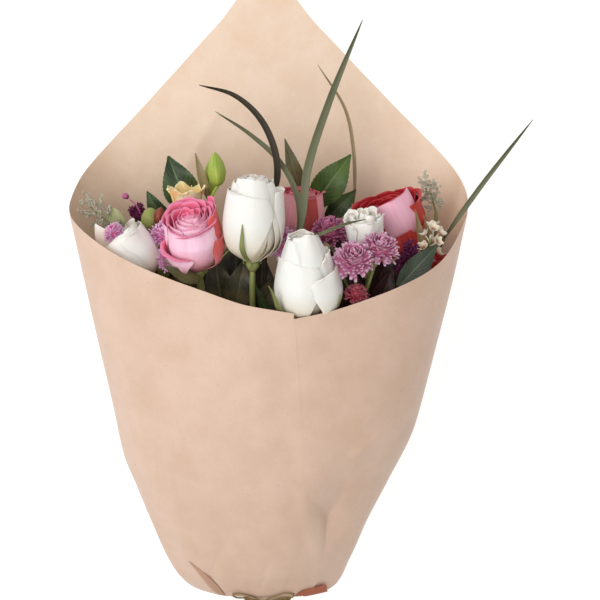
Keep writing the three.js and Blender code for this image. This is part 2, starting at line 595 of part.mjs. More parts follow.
// A bloom, and under it its stem with the calyx, which ends just clear of the petals.
function addFlower(name, blossom, paint, cup, topRadius) {
  const stem = stemNamed(name);
  const upright = standing(stem.base, stem.grow);
  addNode(`${name}_bloom`, blossom.applyMatrix4(upright), paint);
  const root = { ...stem, base: stem.base.clone().addScaledVector(stem.grow, -5) };
  const parts = cup.map((one) => one.applyMatrix4(upright));
  addNode(`${name}_stem`, fused([stemTube(root, topRadius), ...parts]), "stem");
}
for (const [name, rose] of Object.entries(ROSES)) {
  const { radius, height, sepal } = rose;
  const cup = calyx({ sepals: 3, length: height * 0.42, belly: radius, height, lean: 2.2, start: sepal });
  addFlower(name, roseBloom(rose), rose.paint, cup, 2.1);
}
for (const [name, { radius, height }] of Object.entries(LISIANTHUS)) {
  const cup = calyx({ sepals: 3, length: height * 0.4, belly: radius * 0.8, height, lean: 1.5, start: 0.6 });
  addFlower(name, lisianthusBloom({ radius, height }), "white", cup, 1.8);
}

// A pointed bud along a direction, and a side shoot to the foot of what it carries.
function pointedBud(base, grow, radius, length) {
  const profile = [[0, 0], [0.7, 0.12], [1, 0.4], [0.6, 0.8], [0, 1]].map(([r, z]) => [r * radius, z * length]);
  return turned(profile, 7).applyMatrix4(standing(base, grow));
}

function shoot(from, to, radius) {
  return tube([from, to], () => radius, 4, 1);
}

// The alstroemeria, on a stem that also carries two green buds.
function addAlstroemeria() {
  const stem = stemNamed("alstroemeria");
  const foot = stem.base.clone().addScaledVector(stem.grow, ALSTROEMERIA.rise);
  addNode("alstroemeria_bloom", funnelBloom(ALSTROEMERIA).applyMatrix4(standing(foot, stem.grow)), "yellow");
  const buds = ALSTROEMERIA.buds.flatMap(({ base, grow, radius, length }) => [
    pointedBud(V(...base), V(...grow), radius, length),
    shoot(stem.base, V(...base).addScaledVector(V(...grow), 1), 1.1),
  ]);
  const cup = pointedBud(stem.base, stem.grow, 2.6, ALSTROEMERIA.rise - 1.3 * GAP);
  addNode("alstroemeria_stem", fused([stemTube(stem, 1.7), cup, ...buds]), "stem");
}
addAlstroemeria();

// The red freesia low at the right and the round green bud at the left are each one body with their stem.
function addOnStem(name, solid, paint) {
  const stem = stemNamed(name);
  const root = stem.base.clone().addScaledVector(stem.grow, -0.6);
  addNode(name, fused([stemTube(stem, 1.7), solid.applyMatrix4(standing(root, stem.grow))]), paint);
}
addOnStem("freesia_red", funnelBloom(FREESIA), "coral");
addOnStem("bud_left", turned(ROUND_BUD, 8), "stem");

// A button chrysanthemum: tiers of pointed florets, each tier's points over the gaps of the one below.
function pompon(radius, height) {
  const around = 2 * POMPON_POINTS;
  const at = [V(0, 0, 0), V(0, 0, height * 0.86)];
  for (const [size, level, cut, over] of POMPON_RINGS)
    for (let k = 0; k < around; k++) {
      const r = radius * size * ((k + over) % 2 ? 1 - cut : 1);
      const turn = (2 * Math.PI * k) / around;
      at.push(V(r * Math.cos(turn), r * Math.sin(turn), height * level));
    }
  const id = (ring, k) => 2 + ring * around + (k % around);
  const last = POMPON_RINGS.length - 1;
  const triangles = [];
  for (let k = 0; k < around; k++) {
    triangles.push([0, id(0, k + 1), id(0, k)], [1, id(last, k), id(last, k + 1)]);
    for (let ring = 0; ring < last; ring++) {
      const [a, b, c, d] = [id(ring, k), id(ring, k + 1), id(ring + 1, k + 1), id(ring + 1, k)];
      triangles.push([a, b, c], [a, c, d]);
    }
  }
  return closedMesh(at, triangles);
}

// A spray of mums: the stem with a shoot and a small cup for each head, and the heads just clear of their cups.
for (const [name, heads] of Object.entries(MUMS)) {
  const stem = stemNamed(name);
  const parts = [stemTube(stem, 1.5)];
  heads.forEach(({ base, grow, radius, height, paint }, k) => {
    const [foot, way] = [V(...base), V(...grow).normalize()];
    const upright = standing(foot, way);
    addNode(`${name}_head_${k + 1}`, pompon(radius, height).applyMatrix4(upright), paint);
    parts.push(turned([[0, -5], [radius * 0.3, -GAP], [0, -GAP]], 6).applyMatrix4(upright));
    parts.push(shoot(stem.base, foot.clone().addScaledVector(way, -4), 1));
  });
  addNode(`${name}_spray`, fused(parts), "stem");
}

// A spray of small papery cups on stalks, set round the shoot at its end, as one body with its stem.
for (const [name, { tip, count, stalk, radius, length, paint }] of Object.entries(CUP_SPRAYS)) {
  const stem = stemNamed(name);
  const run = V(...tip).sub(stem.base);
  const way = run.clone().normalize();
  const lean = new THREE.Quaternion().setFromUnitVectors(V(0, 1, 0), way);
  const cup = (root, grow, reach) => {
    const profile = [[0, 0], [0.8, 0.4], [radius, reach + length], [0, reach + 0.7 * length]];
    return turned(profile, 4).applyMatrix4(standing(root, grow));
  };
  const cups = Array.from({ length: count }, (_, k) => {
    const turn = 2.4 * k;
    const out = V(Math.cos(turn), 0, Math.sin(turn)).applyQuaternion(lean);
    const grow = way.clone().multiplyScalar(0.8).addScaledVector(out, 0.75);
    return cup(stem.base.clone().addScaledVector(run, k / count), grow, stalk);
  });
  const tipShoot = shoot(stem.base.clone().addScaledVector(way, -1), V(...tip), 0.9);
  const top = cup(V(...tip).addScaledVector(way, -1), way, 1);
  addNode(name, fused([stemTube(stem, 1.3), tipShoot, top, ...cups]), paint);
}

// A blade of grass, flat side up and folded a little, along the points it passes.
function blade(points, half) {
  const line = new THREE.CatmullRomCurve3(points, false, "centripetal");
  const place = (u, v) => {
    const across = line.getTangentAt(v).cross(UP).normalize();
    const wide = half * Math.min(1, 0.35 + v * 3) * (1 - v ** 4 * 0.85);
    const from = u * 2 - 1;
    return line.getPointAt(v).addScaledVector(across, from * wide).addScaledVector(UP, 0.8 * Math.abs(from));
  };
  return sheet(place, 2, 7, BLADE);
}
for (const [name, blades] of Object.entries(GRASSES)) {
  const stem = stemNamed(name);
  const parts = blades.map(({ half, by }) => blade([stem.base, ...by.map((at) => V(...at))], half));
  addNode(name, fused([stemTube(stem, 1.4), ...parts]), "grass");
}

// Stems that only carry leaves.
for (const [name, leaves] of Object.entries(LEAVES)) {
  const stem = stemNamed(name);
  const parts = leaves.flatMap((one) => [
    leaf(one),
    shoot(stem.base, V(...one.base).lerp(V(...one.tip), 0.12), 0.9),
  ]);
  addNode(name, fused([stemTube(stem, 1.5), ...parts]), "leaf");
}

export default bouquet;
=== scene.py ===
# %% [markdown]
# # A mixed bouquet in kraft paper
# The bouquet lies on its back on a pale table: a rolled sheet of kraft paper with a tall pointed back,
# tied with thin twine, and in its mouth roses, small chrysanthemums, filler flowers, leaves and blades
# of grass. All tables of sizes here are in millimetres, and a mesh is scaled to metres when it is made.

# %% Load the frame
import math

import bpy
import numpy as np
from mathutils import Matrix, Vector


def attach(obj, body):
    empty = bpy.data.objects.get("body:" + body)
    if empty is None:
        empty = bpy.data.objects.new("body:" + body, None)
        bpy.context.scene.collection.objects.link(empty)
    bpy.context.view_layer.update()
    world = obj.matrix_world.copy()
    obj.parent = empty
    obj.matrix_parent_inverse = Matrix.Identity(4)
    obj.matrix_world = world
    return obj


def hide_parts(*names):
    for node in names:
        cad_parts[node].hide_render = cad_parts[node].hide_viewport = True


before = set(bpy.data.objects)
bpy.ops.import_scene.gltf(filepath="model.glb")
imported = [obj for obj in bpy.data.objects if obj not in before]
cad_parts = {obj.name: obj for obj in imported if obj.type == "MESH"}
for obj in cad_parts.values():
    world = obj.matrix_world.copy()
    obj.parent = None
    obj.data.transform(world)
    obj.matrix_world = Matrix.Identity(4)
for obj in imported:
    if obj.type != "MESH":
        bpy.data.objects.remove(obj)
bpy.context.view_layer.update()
MM = 0.001
print("solids in the frame:", len(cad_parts))

# %% [markdown]
# ## The camera
# The photograph looks at the bouquet from a little in front of its face, from more than a metre away.
# The real one stands, and this one lies, so the camera looks down on it, tipped by ten degrees towards
# the tie.

# %% Camera
AIM = np.array([25.0, 16.0, 80.0])
DISTANCE = 1300.0
TIP = math.radians(10)
SENSOR = 36.0
PHOTO_SIDE = 600
MM_PER_PIXEL = 0.72

towards = np.array([0.0, math.sin(TIP), math.cos(TIP)])
camera = bpy.data.objects.new("camera", bpy.data.cameras.new("camera"))
bpy.context.scene.collection.objects.link(camera)
camera.location = (AIM + DISTANCE * towards) * MM
camera.rotation_euler = (-TIP, 0, 0)
camera.data.sensor_width = SENSOR
camera.data.lens = DISTANCE / MM_PER_PIXEL * SENSOR / PHOTO_SIDE
bpy.context.scene.camera = camera
print("lens, mm:", round(camera.data.lens, 1))

# %% [markdown]
# ## The form of the wrap
# Everything in the bouquet leans on the paper, so its form comes first. The sheet is a tube whose half
# widths and heights change along it. Stations give them at a few distances from the tie, and a curve
# that never overshoots joins the stations. The same function then places the twine on the paper.

# %% Smooth functions
def through(stations):
    """A smooth function through [place, value] stations, which never overshoots between two of them."""
    places, values = np.array(stations, float).T
    widths = np.diff(places)
    slopes = np.diff(values) / widths
    before, after = slopes[:-1], slopes[1:]
    turning = before * after <= 0
    inner = np.where(turning, 0, 2 * before * after / np.where(turning, 1, before + after))
    tangent = np.concatenate([slopes[:1], inner, slopes[-1:]])

    def value(place):
        place = np.asarray(place, float)
        i = np.clip(np.searchsorted(places, place) - 1, 0, len(widths) - 1)
        t = np.clip((place - places[i]) / widths[i], 0, 1)
        rise = tangent[i] * t * (1 - t) ** 2 + tangent[i + 1] * t * t * (t - 1)
        return values[i] * (1 + 2 * t) * (1 - t) ** 2 + values[i + 1] * t * t * (3 - 2 * t) + widths[i] * rise

    return value


def ease(t):
    """A rise from 0 to 1 with a soft start and end."""
    t = np.clip(t, 0, 1)
    return t * t * (3 - 2 * t)


def mix(a, b, t):
    """The value at a share t of the way from a to b."""
    return a + (b - a) * t


# %% Stations of the paper
TIE_Y = -222
TIE_Z = 45
PAPER = 1
INNER_EDGE_DEG = -40
LAP_LIFT = 1.9
LAP_RISE = {"start": 285, "over": 30}
FRONT_FLAT = {"by": 0.85, "start": 0.3, "over": 0.4}
BACK_BULGE = 1.02
# The pleats at the tie: how many, how deep above it and below it, and how they fade away from it.
PLEATS = {"count": 11, "body": 0.1, "tail": 0.3, "depth": 5.5, "reach": 60, "fade": 16, "middle": 3}
# The paper hangs lower at its two sides just above the tie: how far, where, and over what length.
LOBE = {"drop": 5, "middle": 14, "reach": 14, "start": 8}
# Half widths and heights of the paper, as [distance from the tie, value].
half_left = through([
    [-60, 43], [-34, 29], [-6, 16], [-2, 15.5], [8, 15.5], [10.5, 31], [14, 45], [20, 59], [33, 71], [66, 85],
    [98, 97], [120, 105], [161, 112], [222, 124], [281, 134], [310, 139], [470, 146]])
half_right = through([
    [-60, 43], [-34, 29], [-6, 16], [-2, 15.5], [8, 15.5], [10.5, 31], [14, 43], [20, 54], [33, 62], [66, 76],
    [98, 91], [138, 109], [161, 115], [222, 128], [281, 141], [310, 146], [470, 150]])
front_z = through([
    [-60, 78], [-34, 70], [-6, 61], [-2, 60.5], [8, 60.5], [12, 67], [17, 73], [24, 80], [33, 88], [66, 107],
    [114, 127], [161, 139], [238, 152], [310, 164], [470, 164]])
back_z = through([
    [-60, 1], [-34, 14], [-6, 29], [-2, 29.5], [8, 29.5], [10.5, 20], [14, 11], [20, 4], [30, 0], [470, 0]])
widest_z = through([
    [-60, 42], [0, 45], [33, 50], [114, 60], [238, 76], [300, 82], [316, 66], [340, 42], [380, 20], [420, 12],
    [470, 8]])
# The rim, as [degrees round the paper, distance from the tie]. 180 degrees is the point at the back.
rim_at = through([
    [-40, 214], [9, 237.5], [22, 242.5], [35, 250.5], [49, 259.5], [57, 265], [65, 272.5], [72, 283],
    [80, 296], [88, 307], [104, 322], [120, 340], [135, 363], [150, 394], [165, 431], [180, 469],
    [195, 431], [210, 394], [225, 363], [240, 340], [256, 322], [272, 306], [302, 287], [326, 269],
    [341, 258], [356, 247], [400, 230]])
# The lap's free edge, as [distance from the tie, degrees]. It lies past one full turn.
lap_edge = through([[-60, 398], [0, 400], [30, 398], [100, 378], [238, 369]])


# %% A point of the paper
def paper_point(degrees, s):
    """The middle of the paper, at degrees round it from the front over the right, and s above the tie."""
    turn = np.radians(degrees)
    side, front = np.sin(turn), np.cos(turn)
    lift = LAP_LIFT * ease((degrees - LAP_RISE["start"]) / LAP_RISE["over"])
    from_tie = np.abs(s - PLEATS["middle"])
    flattened = 1 - FRONT_FLAT["by"] * ease((front - FRONT_FLAT["start"]) / FRONT_FLAT["over"])
    depth = PLEATS["depth"] * (from_tie / PLEATS["reach"]) ** 2 * np.exp(-from_tie / PLEATS["fade"])
    depth = depth * flattened
    deep = np.where(s < 0, PLEATS["tail"], PLEATS["body"])
    swell = 1 + deep * depth * (1 + np.cos(PLEATS["count"] * turn))
    half = np.where(side > 0, half_right(s), half_left(s)) + lift
    middle = widest_z(s)
    bulge = np.minimum(1, BACK_BULGE * (1 - (1 - np.abs(front)) ** 2))
    above = middle + (front_z(s) + lift - middle) * front * swell
    below = middle - (middle - back_z(s)) * bulge
    lobed = np.exp(-(((s - LOBE["middle"]) / LOBE["reach"]) ** 2)) * np.clip((s - LOBE["start"]) / 3, 0, 1)
    y = TIE_Y + s - LOBE["drop"] * side**2 * lobed
    return np.stack([half * side * swell, y, np.where(front > 0, above, below) + PAPER / 2], -1)


def over_front(x, s, above):
    """A point over the front of the paper, some way above it."""
    half = (half_right(s) if x > 0 else half_left(s)) + LAP_LIFT
    turn = math.degrees(math.asin(max(-0.98, min(0.98, x / half))))
    return paper_point(360 + turn, s) + [0, 0, PAPER / 2 + above]


# %% [markdown]
# ## The two free ends of the twine
# Each leaves the knot, drops on the gathered paper and runs down over the tail. The route is a short
# list of places over the paper, in metres, with a smooth line through it.

# %% Smooth lines
def smooth_line(points, count):
    """count + 1 points along a line that passes through the given ones, evenly shared between them."""
    points = np.array(points, float)
    padded = np.concatenate([[2 * points[0] - points[1]], points, [2 * points[-1] - points[-2]]])
    spans = len(points) - 1
    line = []
    for t in np.linspace(0, spans, count + 1):
        i = min(int(t), spans - 1)
        a, b, c, d = padded[i : i + 4]
        before, here, after = (max(np.linalg.norm(q - p) ** 0.5, 1e-4) for p, q in ((a, b), (b, c), (c, d)))
        leave = ((b - a) / before - (c - a) / (before + here) + (c - b) / here) * here
        arrive = ((c - b) / here - (d - b) / (here + after) + (d - c) / after) * here
        w = t - i
        bend = (-3 * b + 3 * c - 2 * leave - arrive) * w**2 + (2 * b - 2 * c + leave + arrive) * w**3
        line.append(b + leave * w + bend)
    return np.array(line)


def length_of(line):
    """The length of a line, from point to point."""
    return float(np.linalg.norm(np.diff(line, axis=0), axis=1).sum())


def even_points(line, count):
    """count points at even steps along a line, and how far along it each of them lies."""
    gone = np.concatenate([[0], np.cumsum(np.linalg.norm(np.diff(line, axis=0), axis=1))])
    steps = np.linspace(0, gone[-1], count)
    return np.stack([np.interp(steps, gone, line[:, k]) for k in range(3)], -1), steps


# %% Routes of the twine ends
TWINE_R = 0.75
ROUTE_STEPS = 28
# Each place on the front: x, the distance from the tie, and the height over the paper, in metres.
TWINE_ENDS_M = {
    "twine_end_1": [
        [-0.0075, 0.001, 0.0026], [-0.010, -0.006, 0.002], [-0.012, -0.018, 0.0019], [-0.012, -0.031, 0.0019],
        [-0.016, -0.044, 0.0019]],
    "twine_end_2": [
        [0.0015, 0.001, 0.0026], [0.004, -0.006, 0.002], [0.006, -0.018, 0.0019], [0.010, -0.031, 0.0019],
        [0.009, -0.044, 0.0019]],
}
twine_routes = {}
for name, places in TWINE_ENDS_M.items():
    corners = [over_front(*(np.array(place) / MM)) for place in places]
    twine_routes[name] = smooth_line(corners, ROUTE_STEPS)
    print(name, "is", round(length_of(twine_routes[name]), 1), "mm long")


# %% [markdown]
# ## Making meshes
# A petal, a leaf or the paper is a thin sheet, so one helper closes a grid of points to a sheet of even
# thickness. A stem or a strand is a tube along a line, and a bud is a turned form. Each helper gives
# points, faces and marks. The marks are four numbers a point: across, along, which copy it is, and
# whether it lies on the outer side. The materials read them, so that a petal is paler at its foot
# without any image.

# %% Sheets, tubes and turned forms
FIRST_NORMAL = np.array([0.31, 0.2, 0.93])


def grid_of(rows, columns):
    """The numbers of a grid's points, and the faces between them."""
    ids = np.arange(rows * columns).reshape(rows, columns)
    return ids, np.stack([ids[:-1, :-1], ids[:-1, 1:], ids[1:, 1:], ids[1:, :-1]], -1).reshape(-1, 4)


def bands_of(rings, sides):
    """The numbers of the points of closed rings, and the faces between one ring and the next."""
    ids = np.arange(rings * sides).reshape(rings, sides)
    low, high = ids[:-1], ids[1:]
    quads = np.stack([low, np.roll(low, -1, 1), np.roll(high, -1, 1), high], -1).reshape(-1, 4)
    return ids, quads.tolist()


def thin_sheet(points, thickness, own=0.0, lift=0.0):
    """A closed sheet round a grid of points, rows by columns by 3. Its outer side faces across x along."""
    rows, columns = points.shape[:2]
    normal = np.cross(np.gradient(points, axis=1), np.gradient(points, axis=0))
    normal /= np.linalg.norm(normal, axis=2, keepdims=True) + 1e-12
    outer = points + normal * (lift + thickness / 2)
    inner = points + normal * (lift - thickness / 2)
    ids, front = grid_of(rows, columns)
    under = rows * columns
    border = np.concatenate([ids[0, :-1], ids[:-1, -1], ids[-1, :0:-1], ids[:0:-1, 0]])
    after = np.roll(border, -1)
    edge = np.stack([after, border, border + under, after + under], -1)
    faces = np.concatenate([front, front[:, ::-1] + under, edge])
    across, along = np.meshgrid(np.linspace(-1, 1, columns), np.linspace(0, 1, rows))
    marks = np.stack([across, along, np.full_like(across, own), np.ones_like(across)], -1).reshape(-1, 4)
    below = marks.copy()
    below[:, 3] = 0
    both = np.concatenate([outer.reshape(-1, 3), inner.reshape(-1, 3)])
    return both, faces, np.concatenate([marks, below])


def frames_along(line):
    """Two directions square to a line at each of its points. They twist as little as they can."""
    ways = np.gradient(line, axis=0)
    ways = ways / np.linalg.norm(ways, axis=1, keepdims=True)
    normal = FIRST_NORMAL
    normals = []
    for way in ways:
        normal = normal - normal.dot(way) * way
        normal /= np.linalg.norm(normal)
        normals.append(normal)
    return np.array(normals), np.cross(ways, normals)


def tube(line, radius, sides=8, own=0.0):
    """A closed tube along a line. The radius is one number, or one for each point of the line."""
    line = np.asarray(line, float)
    radius = np.broadcast_to(radius, len(line))
    turns = np.linspace(0, 2 * np.pi, sides, endpoint=False)
    cosines, sines = np.cos(turns)[:, None], np.sin(turns)[:, None]
    n = len(line)
    ids, quads = bands_of(n, sides)
    points = np.concatenate([
        centre + r * (cosines * normal + sines * other)
        for centre, r, normal, other in zip(line, radius, *frames_along(line))])
    along = np.repeat(np.linspace(0, 1, n), sides)
    across = np.tile(np.cos(turns), n)
    marks = np.stack([across, along, np.full(len(along), own), np.ones(len(along))], -1)
    caps = [list(ids[0, ::-1]), list(ids[-1])]
    return points, [*quads, *caps], marks


def turned(profile, sides=12, own=0.0, ribs=0, rib_depth=0.0):
    """A closed turned form about +Z. The profile starts and ends on the axis. Ribs run along it."""
    profile = np.array(profile, float)
    turns = np.linspace(0, 2 * np.pi, sides, endpoint=False)
    swell = 1 + rib_depth * np.cos(ribs * turns)
    middle = profile[1:-1]
    x = middle[:, :1] * swell * np.cos(turns)
    y = middle[:, :1] * swell * np.sin(turns)
    z = np.repeat(middle[:, 1:], sides, 1)
    body = np.stack([x, y, z], -1).reshape(-1, 3)
    points = np.concatenate([body, [[0, 0, profile[0, 1]], [0, 0, profile[-1, 1]]]])
    n = len(middle)
    ids, quads = bands_of(n, sides)
    foot = [[n * sides, int(b), int(a)] for a, b in zip(ids[0], np.roll(ids[0], -1))]
    top = [[n * sides + 1, int(a), int(b)] for a, b in zip(ids[-1], np.roll(ids[-1], -1))]
    height = (points[:, 2] - profile[0, 1]) / (profile[-1, 1] - profile[0, 1])
    across = np.concatenate([np.tile(np.cos(turns), n), [0, 0]])
    marks = np.stack([across, height, np.full(len(points), own), np.ones(len(points))], -1)
    return points, [*quads, *foot, *top], marks


def standing(base, direction):
    """A function that stands points made along +Z on a base, along a direction. Their +X faces up."""
    grow = np.array(direction, float)
    grow /= np.linalg.norm(grow)
    face = np.array([0.0, 0.0, 1.0]) - grow[2] * grow
    face /= np.linalg.norm(face)
    turn = np.stack([face, np.cross(grow, face), grow])
    return lambda points: points @ turn + np.array(base, float)


# %% Pieces
MARKS = ("across", "along", "own", "outer")
SHARP_EDGE = math.radians(76)


class Piece:
    """Collects parts of one piece in millimetres, and makes its mesh."""

    def __init__(self):
        self.points, self.faces, self.marks, self.count = [], [], [], 0

    def add(self, part, place=None):
        points, faces, marks = part
        self.points.append(points if place is None else place(points))
        self.faces += [[int(i) + self.count for i in face] for face in faces]
        self.marks.append(marks)
        self.count += len(points)

    def make(self, name, material, slot, nodes):
        mesh = bpy.data.meshes.new(name)
        mesh.from_pydata((np.concatenate(self.points) * MM).tolist(), [], self.faces)
        marks = np.concatenate(self.marks).astype(np.float32)
        for k, mark in enumerate(MARKS):
            mesh.attributes.new(mark, "FLOAT", "POINT").data.foreach_set("value", marks[:, k].copy())
        mesh.shade_smooth()
        mesh.set_sharp_from_angle(angle=SHARP_EDGE)
        mesh.materials.append(material)
        made = bpy.data.objects.new(name, mesh)
        bpy.context.scene.collection.objects.link(made)
        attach(made, "root")
        if nodes:
            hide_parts(*nodes)
        triangles = sum(len(face) - 2 for face in self.faces)
        print(f"{name}: {triangles} triangles")
        return made


def make_piece(name, material, slot, nodes, *parts):
    """Makes a piece of parts that are in their places already."""
    piece = Piece()
    for part in parts:
        piece.add(part)
    return piece.make(name, material, slot, nodes)


# %% [markdown]
# ## Making finishes
# Every finish is a few nodes: marks or noise give a colour and a bump, and the shader's own sockets
# hold what is even all over. A small helper adds a node and joins its inputs, so that each recipe below
# reads from top to bottom.

# %% Finishes
def colour(red, green, blue):
    """A colour as shader numbers, from its usual 0 to 255 ones."""
    parts = [c / 255 for c in (red, green, blue)]
    return (*[c / 12.92 if c <= 0.04045 else ((c + 0.055) / 1.055) ** 2.4 for c in parts], 1.0)


class Finish:
    """A material and short ways to add nodes to it."""

    def __init__(self, name, **sockets):
        self.material = bpy.data.materials.new(name)
        self.material.use_nodes = True
        self.tree = self.material.node_tree
        self.shader = self.tree.nodes["Principled BSDF"]
        for socket, value in sockets.items():
            self.shader.inputs[socket.replace("_", " ")].default_value = value
        self.place = self.node("ShaderNodeTexCoord").outputs["Object"]

    def node(self, kind, inputs=(), **settings):
        made = self.tree.nodes.new(kind)
        for setting, value in settings.items():
            setattr(made, setting, value)
        for socket, value in dict(inputs).items():
            if isinstance(value, bpy.types.NodeSocket):
                self.tree.links.new(value, made.inputs[socket])
            else:
                made.inputs[socket].default_value = value
        return made

    def mark(self, name):
        return self.node("ShaderNodeAttribute", attribute_name=name).outputs["Fac"]

    def scaled(self, x, y, z):
        return self.node("ShaderNodeMapping", {"Vector": self.place, "Scale": (x, y, z)}).outputs["Vector"]

    def joined(self, x, y, z):
        return self.node("ShaderNodeCombineXYZ", {"X": x, "Y": y, "Z": z}).outputs["Vector"]

    def noise(self, scale, detail=3, vector=None, rough=0.55):
        inputs = {"Vector": vector or self.place, "Scale": scale, "Detail": detail, "Roughness": rough}
        return self.node("ShaderNodeTexNoise", inputs).outputs["Fac"]

    def sum(self, a, b, operation="ADD"):
        return self.node("ShaderNodeMath", {0: a, 1: b}, operation=operation).outputs["Value"]

    def between(self, value, low, high, to_low=0.0, to_high=1.0):
        inputs = {"Value": value, "From Min": low, "From Max": high, "To Min": to_low, "To Max": to_high}
        return self.node("ShaderNodeMapRange", inputs, interpolation_type="SMOOTHSTEP").outputs["Result"]

    def blend(self, share, a, b, way="MIX"):
        inputs = {0: share, 6: a, 7: b}
        return self.node("ShaderNodeMix", inputs, data_type="RGBA", blend_type=way).outputs[2]

    def paint(self, value):
        self.tree.links.new(value, self.shader.inputs["Base Color"])

    def bump(self, height, strength, distance):
        inputs = {"Height": height, "Strength": strength, "Distance": distance}
        raised = self.node("ShaderNodeBump", inputs).outputs["Normal"]
        self.tree.links.new(raised, self.shader.inputs["Normal"])


# %% [markdown]
# ### Kraft paper
# Kraft paper is matt and warm tan, a little uneven in tone, with short fibres that run mostly one way.
# A slow noise mottles the colour, a fine stretched noise gives the fibres, and both raise a slight
# bump.

# %% Kraft finish
kraft = Finish("kraft paper", Roughness=0.5, Specular_IOR_Level=0.65)
cloudy = kraft.noise(34, 5, rough=0.65)
fibres = kraft.noise(1, 5, kraft.scaled(420, 2600, 420), 0.7)
flecks = kraft.noise(460, 2)
tan = kraft.blend(kraft.between(cloudy, 0.3, 0.7), colour(223, 194, 175), colour(215, 184, 162))
tan = kraft.blend(kraft.between(fibres, 0.35, 0.75, 0, 0.25), tan, colour(200, 168, 140))
tan = kraft.blend(kraft.between(flecks, 0.66, 0.74, 0, 0.3), tan, colour(176, 142, 116))
# The inner face is painted paler than the outer one: partly the paper's own tone, partly painted light on the
# inside of the wrap.
lit_inner_tan = kraft.blend(kraft.between(cloudy, 0.3, 0.72), colour(242, 218, 197), colour(234, 206, 179))
lit_inner_tan = kraft.blend(kraft.between(fibres, 0.35, 0.75, 0, 0.25), lit_inner_tan, colour(206, 174, 146))
kraft.paint(kraft.blend(kraft.mark("outer"), lit_inner_tan, tan))
kraft.bump(kraft.sum(kraft.sum(fibres, 0.5, "MULTIPLY"), cloudy), 0.2, 0.0004)

# %% [markdown]
# ### Petals
# A petal is soft and lets some light through, so its shader has a little subsurface. Its colour runs
# from a pale foot to a deeper rim, the veins are a noise stretched along it, and every petal has its
# own shade.

# %% Petal finishes
def petal_finish(name, foot, inner, outer, rim, accent, soft=0.12, vein=0.2):
    """accent is the outer colour of the petals whose own mark is over 0.9."""
    made = Finish(
        name, Roughness=0.5, Specular_IOR_Level=0.35, Subsurface_Weight=soft, Subsurface_Scale=0.002)
    made.shader.inputs["Subsurface Radius"].default_value = (1.0, 0.5, 0.4)
    along, across, own = made.mark("along"), made.mark("across"), made.mark("own")
    stretched = made.joined(made.sum(across, 9, "MULTIPLY"), along, made.sum(own, 9, "MULTIPLY"))
    veins = made.noise(1, 4, stretched)
    back = made.blend(made.between(own, 0.88, 0.92), outer, accent)
    run = made.blend(made.mark("outer"), inner, back)
    run = made.blend(made.between(along, 0.02, 0.45), foot, run)
    run = made.blend(made.between(along, 0.74, 0.98, 0, 0.8), run, rim)
    run = made.blend(made.between(veins, 0.45, 0.7, 0, vein), run, foot)
    made.paint(run)
    made.bump(made.sum(veins, made.noise(700, 2)), 0.3, 0.0003)
    return made.material


WHITE_PETAL = petal_finish(
    "white petal", foot=colour(234, 218, 190), inner=colour(243, 237, 226), outer=colour(247, 243, 238),
    rim=colour(249, 247, 243), accent=colour(240, 222, 208), soft=0.25, vein=0.06)
CREAM_PETAL = petal_finish(
    "cream petal", foot=colour(168, 120, 96), inner=colour(226, 214, 190), outer=colour(232, 224, 206),
    rim=colour(236, 228, 214), accent=colour(214, 190, 160))
PINK_PETAL = petal_finish(
    "pink petal", foot=colour(236, 150, 166), inner=colour(230, 108, 140), outer=colour(250, 206, 228),
    rim=colour(232, 140, 178), accent=colour(206, 92, 88))
DUSK_PETAL = petal_finish(
    "dusky pink petal", foot=colour(190, 72, 72), inner=colour(190, 82, 102), outer=colour(240, 170, 180),
    rim=colour(228, 118, 136), accent=colour(196, 84, 78))
CORAL_PETAL = petal_finish(
    "coral petal", foot=colour(206, 74, 50), inner=colour(176, 36, 46), outer=colour(202, 66, 62),
    rim=colour(196, 62, 70), accent=colour(250, 192, 214), vein=0.1)
YELLOW_PETAL = petal_finish(
    "yellow petal", foot=colour(236, 158, 88), inner=colour(248, 218, 150), outer=colour(251, 238, 190),
    rim=colour(251, 240, 200), accent=colour(240, 194, 136), vein=0.2)
LILAC_PETAL = petal_finish(
    "lilac petal", foot=colour(196, 62, 132), inner=colour(220, 144, 198), outer=colour(232, 174, 214),
    rim=colour(246, 220, 242), accent=colour(212, 96, 150))
ROSY_PETAL = petal_finish(
    "rosy lilac petal", foot=colour(156, 60, 100), inner=colour(188, 110, 148), outer=colour(208, 142, 172),
    rim=colour(236, 206, 226), accent=colour(206, 104, 142))
PLUM_PETAL = petal_finish(
    "plum petal", foot=colour(110, 30, 66), inner=colour(146, 64, 102), outer=colour(178, 94, 134),
    rim=colour(208, 142, 176), accent=colour(196, 104, 140))
CRIMSON_PETAL = petal_finish(
    "crimson petal", foot=colour(112, 22, 40), inner=colour(150, 44, 62), outer=colour(178, 76, 90),
    rim=colour(212, 122, 138), accent=colour(190, 60, 80))
VIOLET_PETAL = petal_finish(
    "violet petal", foot=colour(54, 18, 50), inner=colour(84, 22, 60), outer=colour(96, 28, 70),
    rim=colour(124, 48, 98), accent=colour(150, 90, 150))


# %% [markdown]
# ### Leaves, stems, grass and twine
# Leaves have a pale midrib and side veins, which follow the marks across and along the blade. Stems are
# smooth and waxy, grass has fine lines along it, and the twine is matt with short fibres.

# %% Leaf, stem, grass and grey finishes
RIBS_ALONG = 9
RIB_SLANT = 3.2
FULL_TURN = 6.283


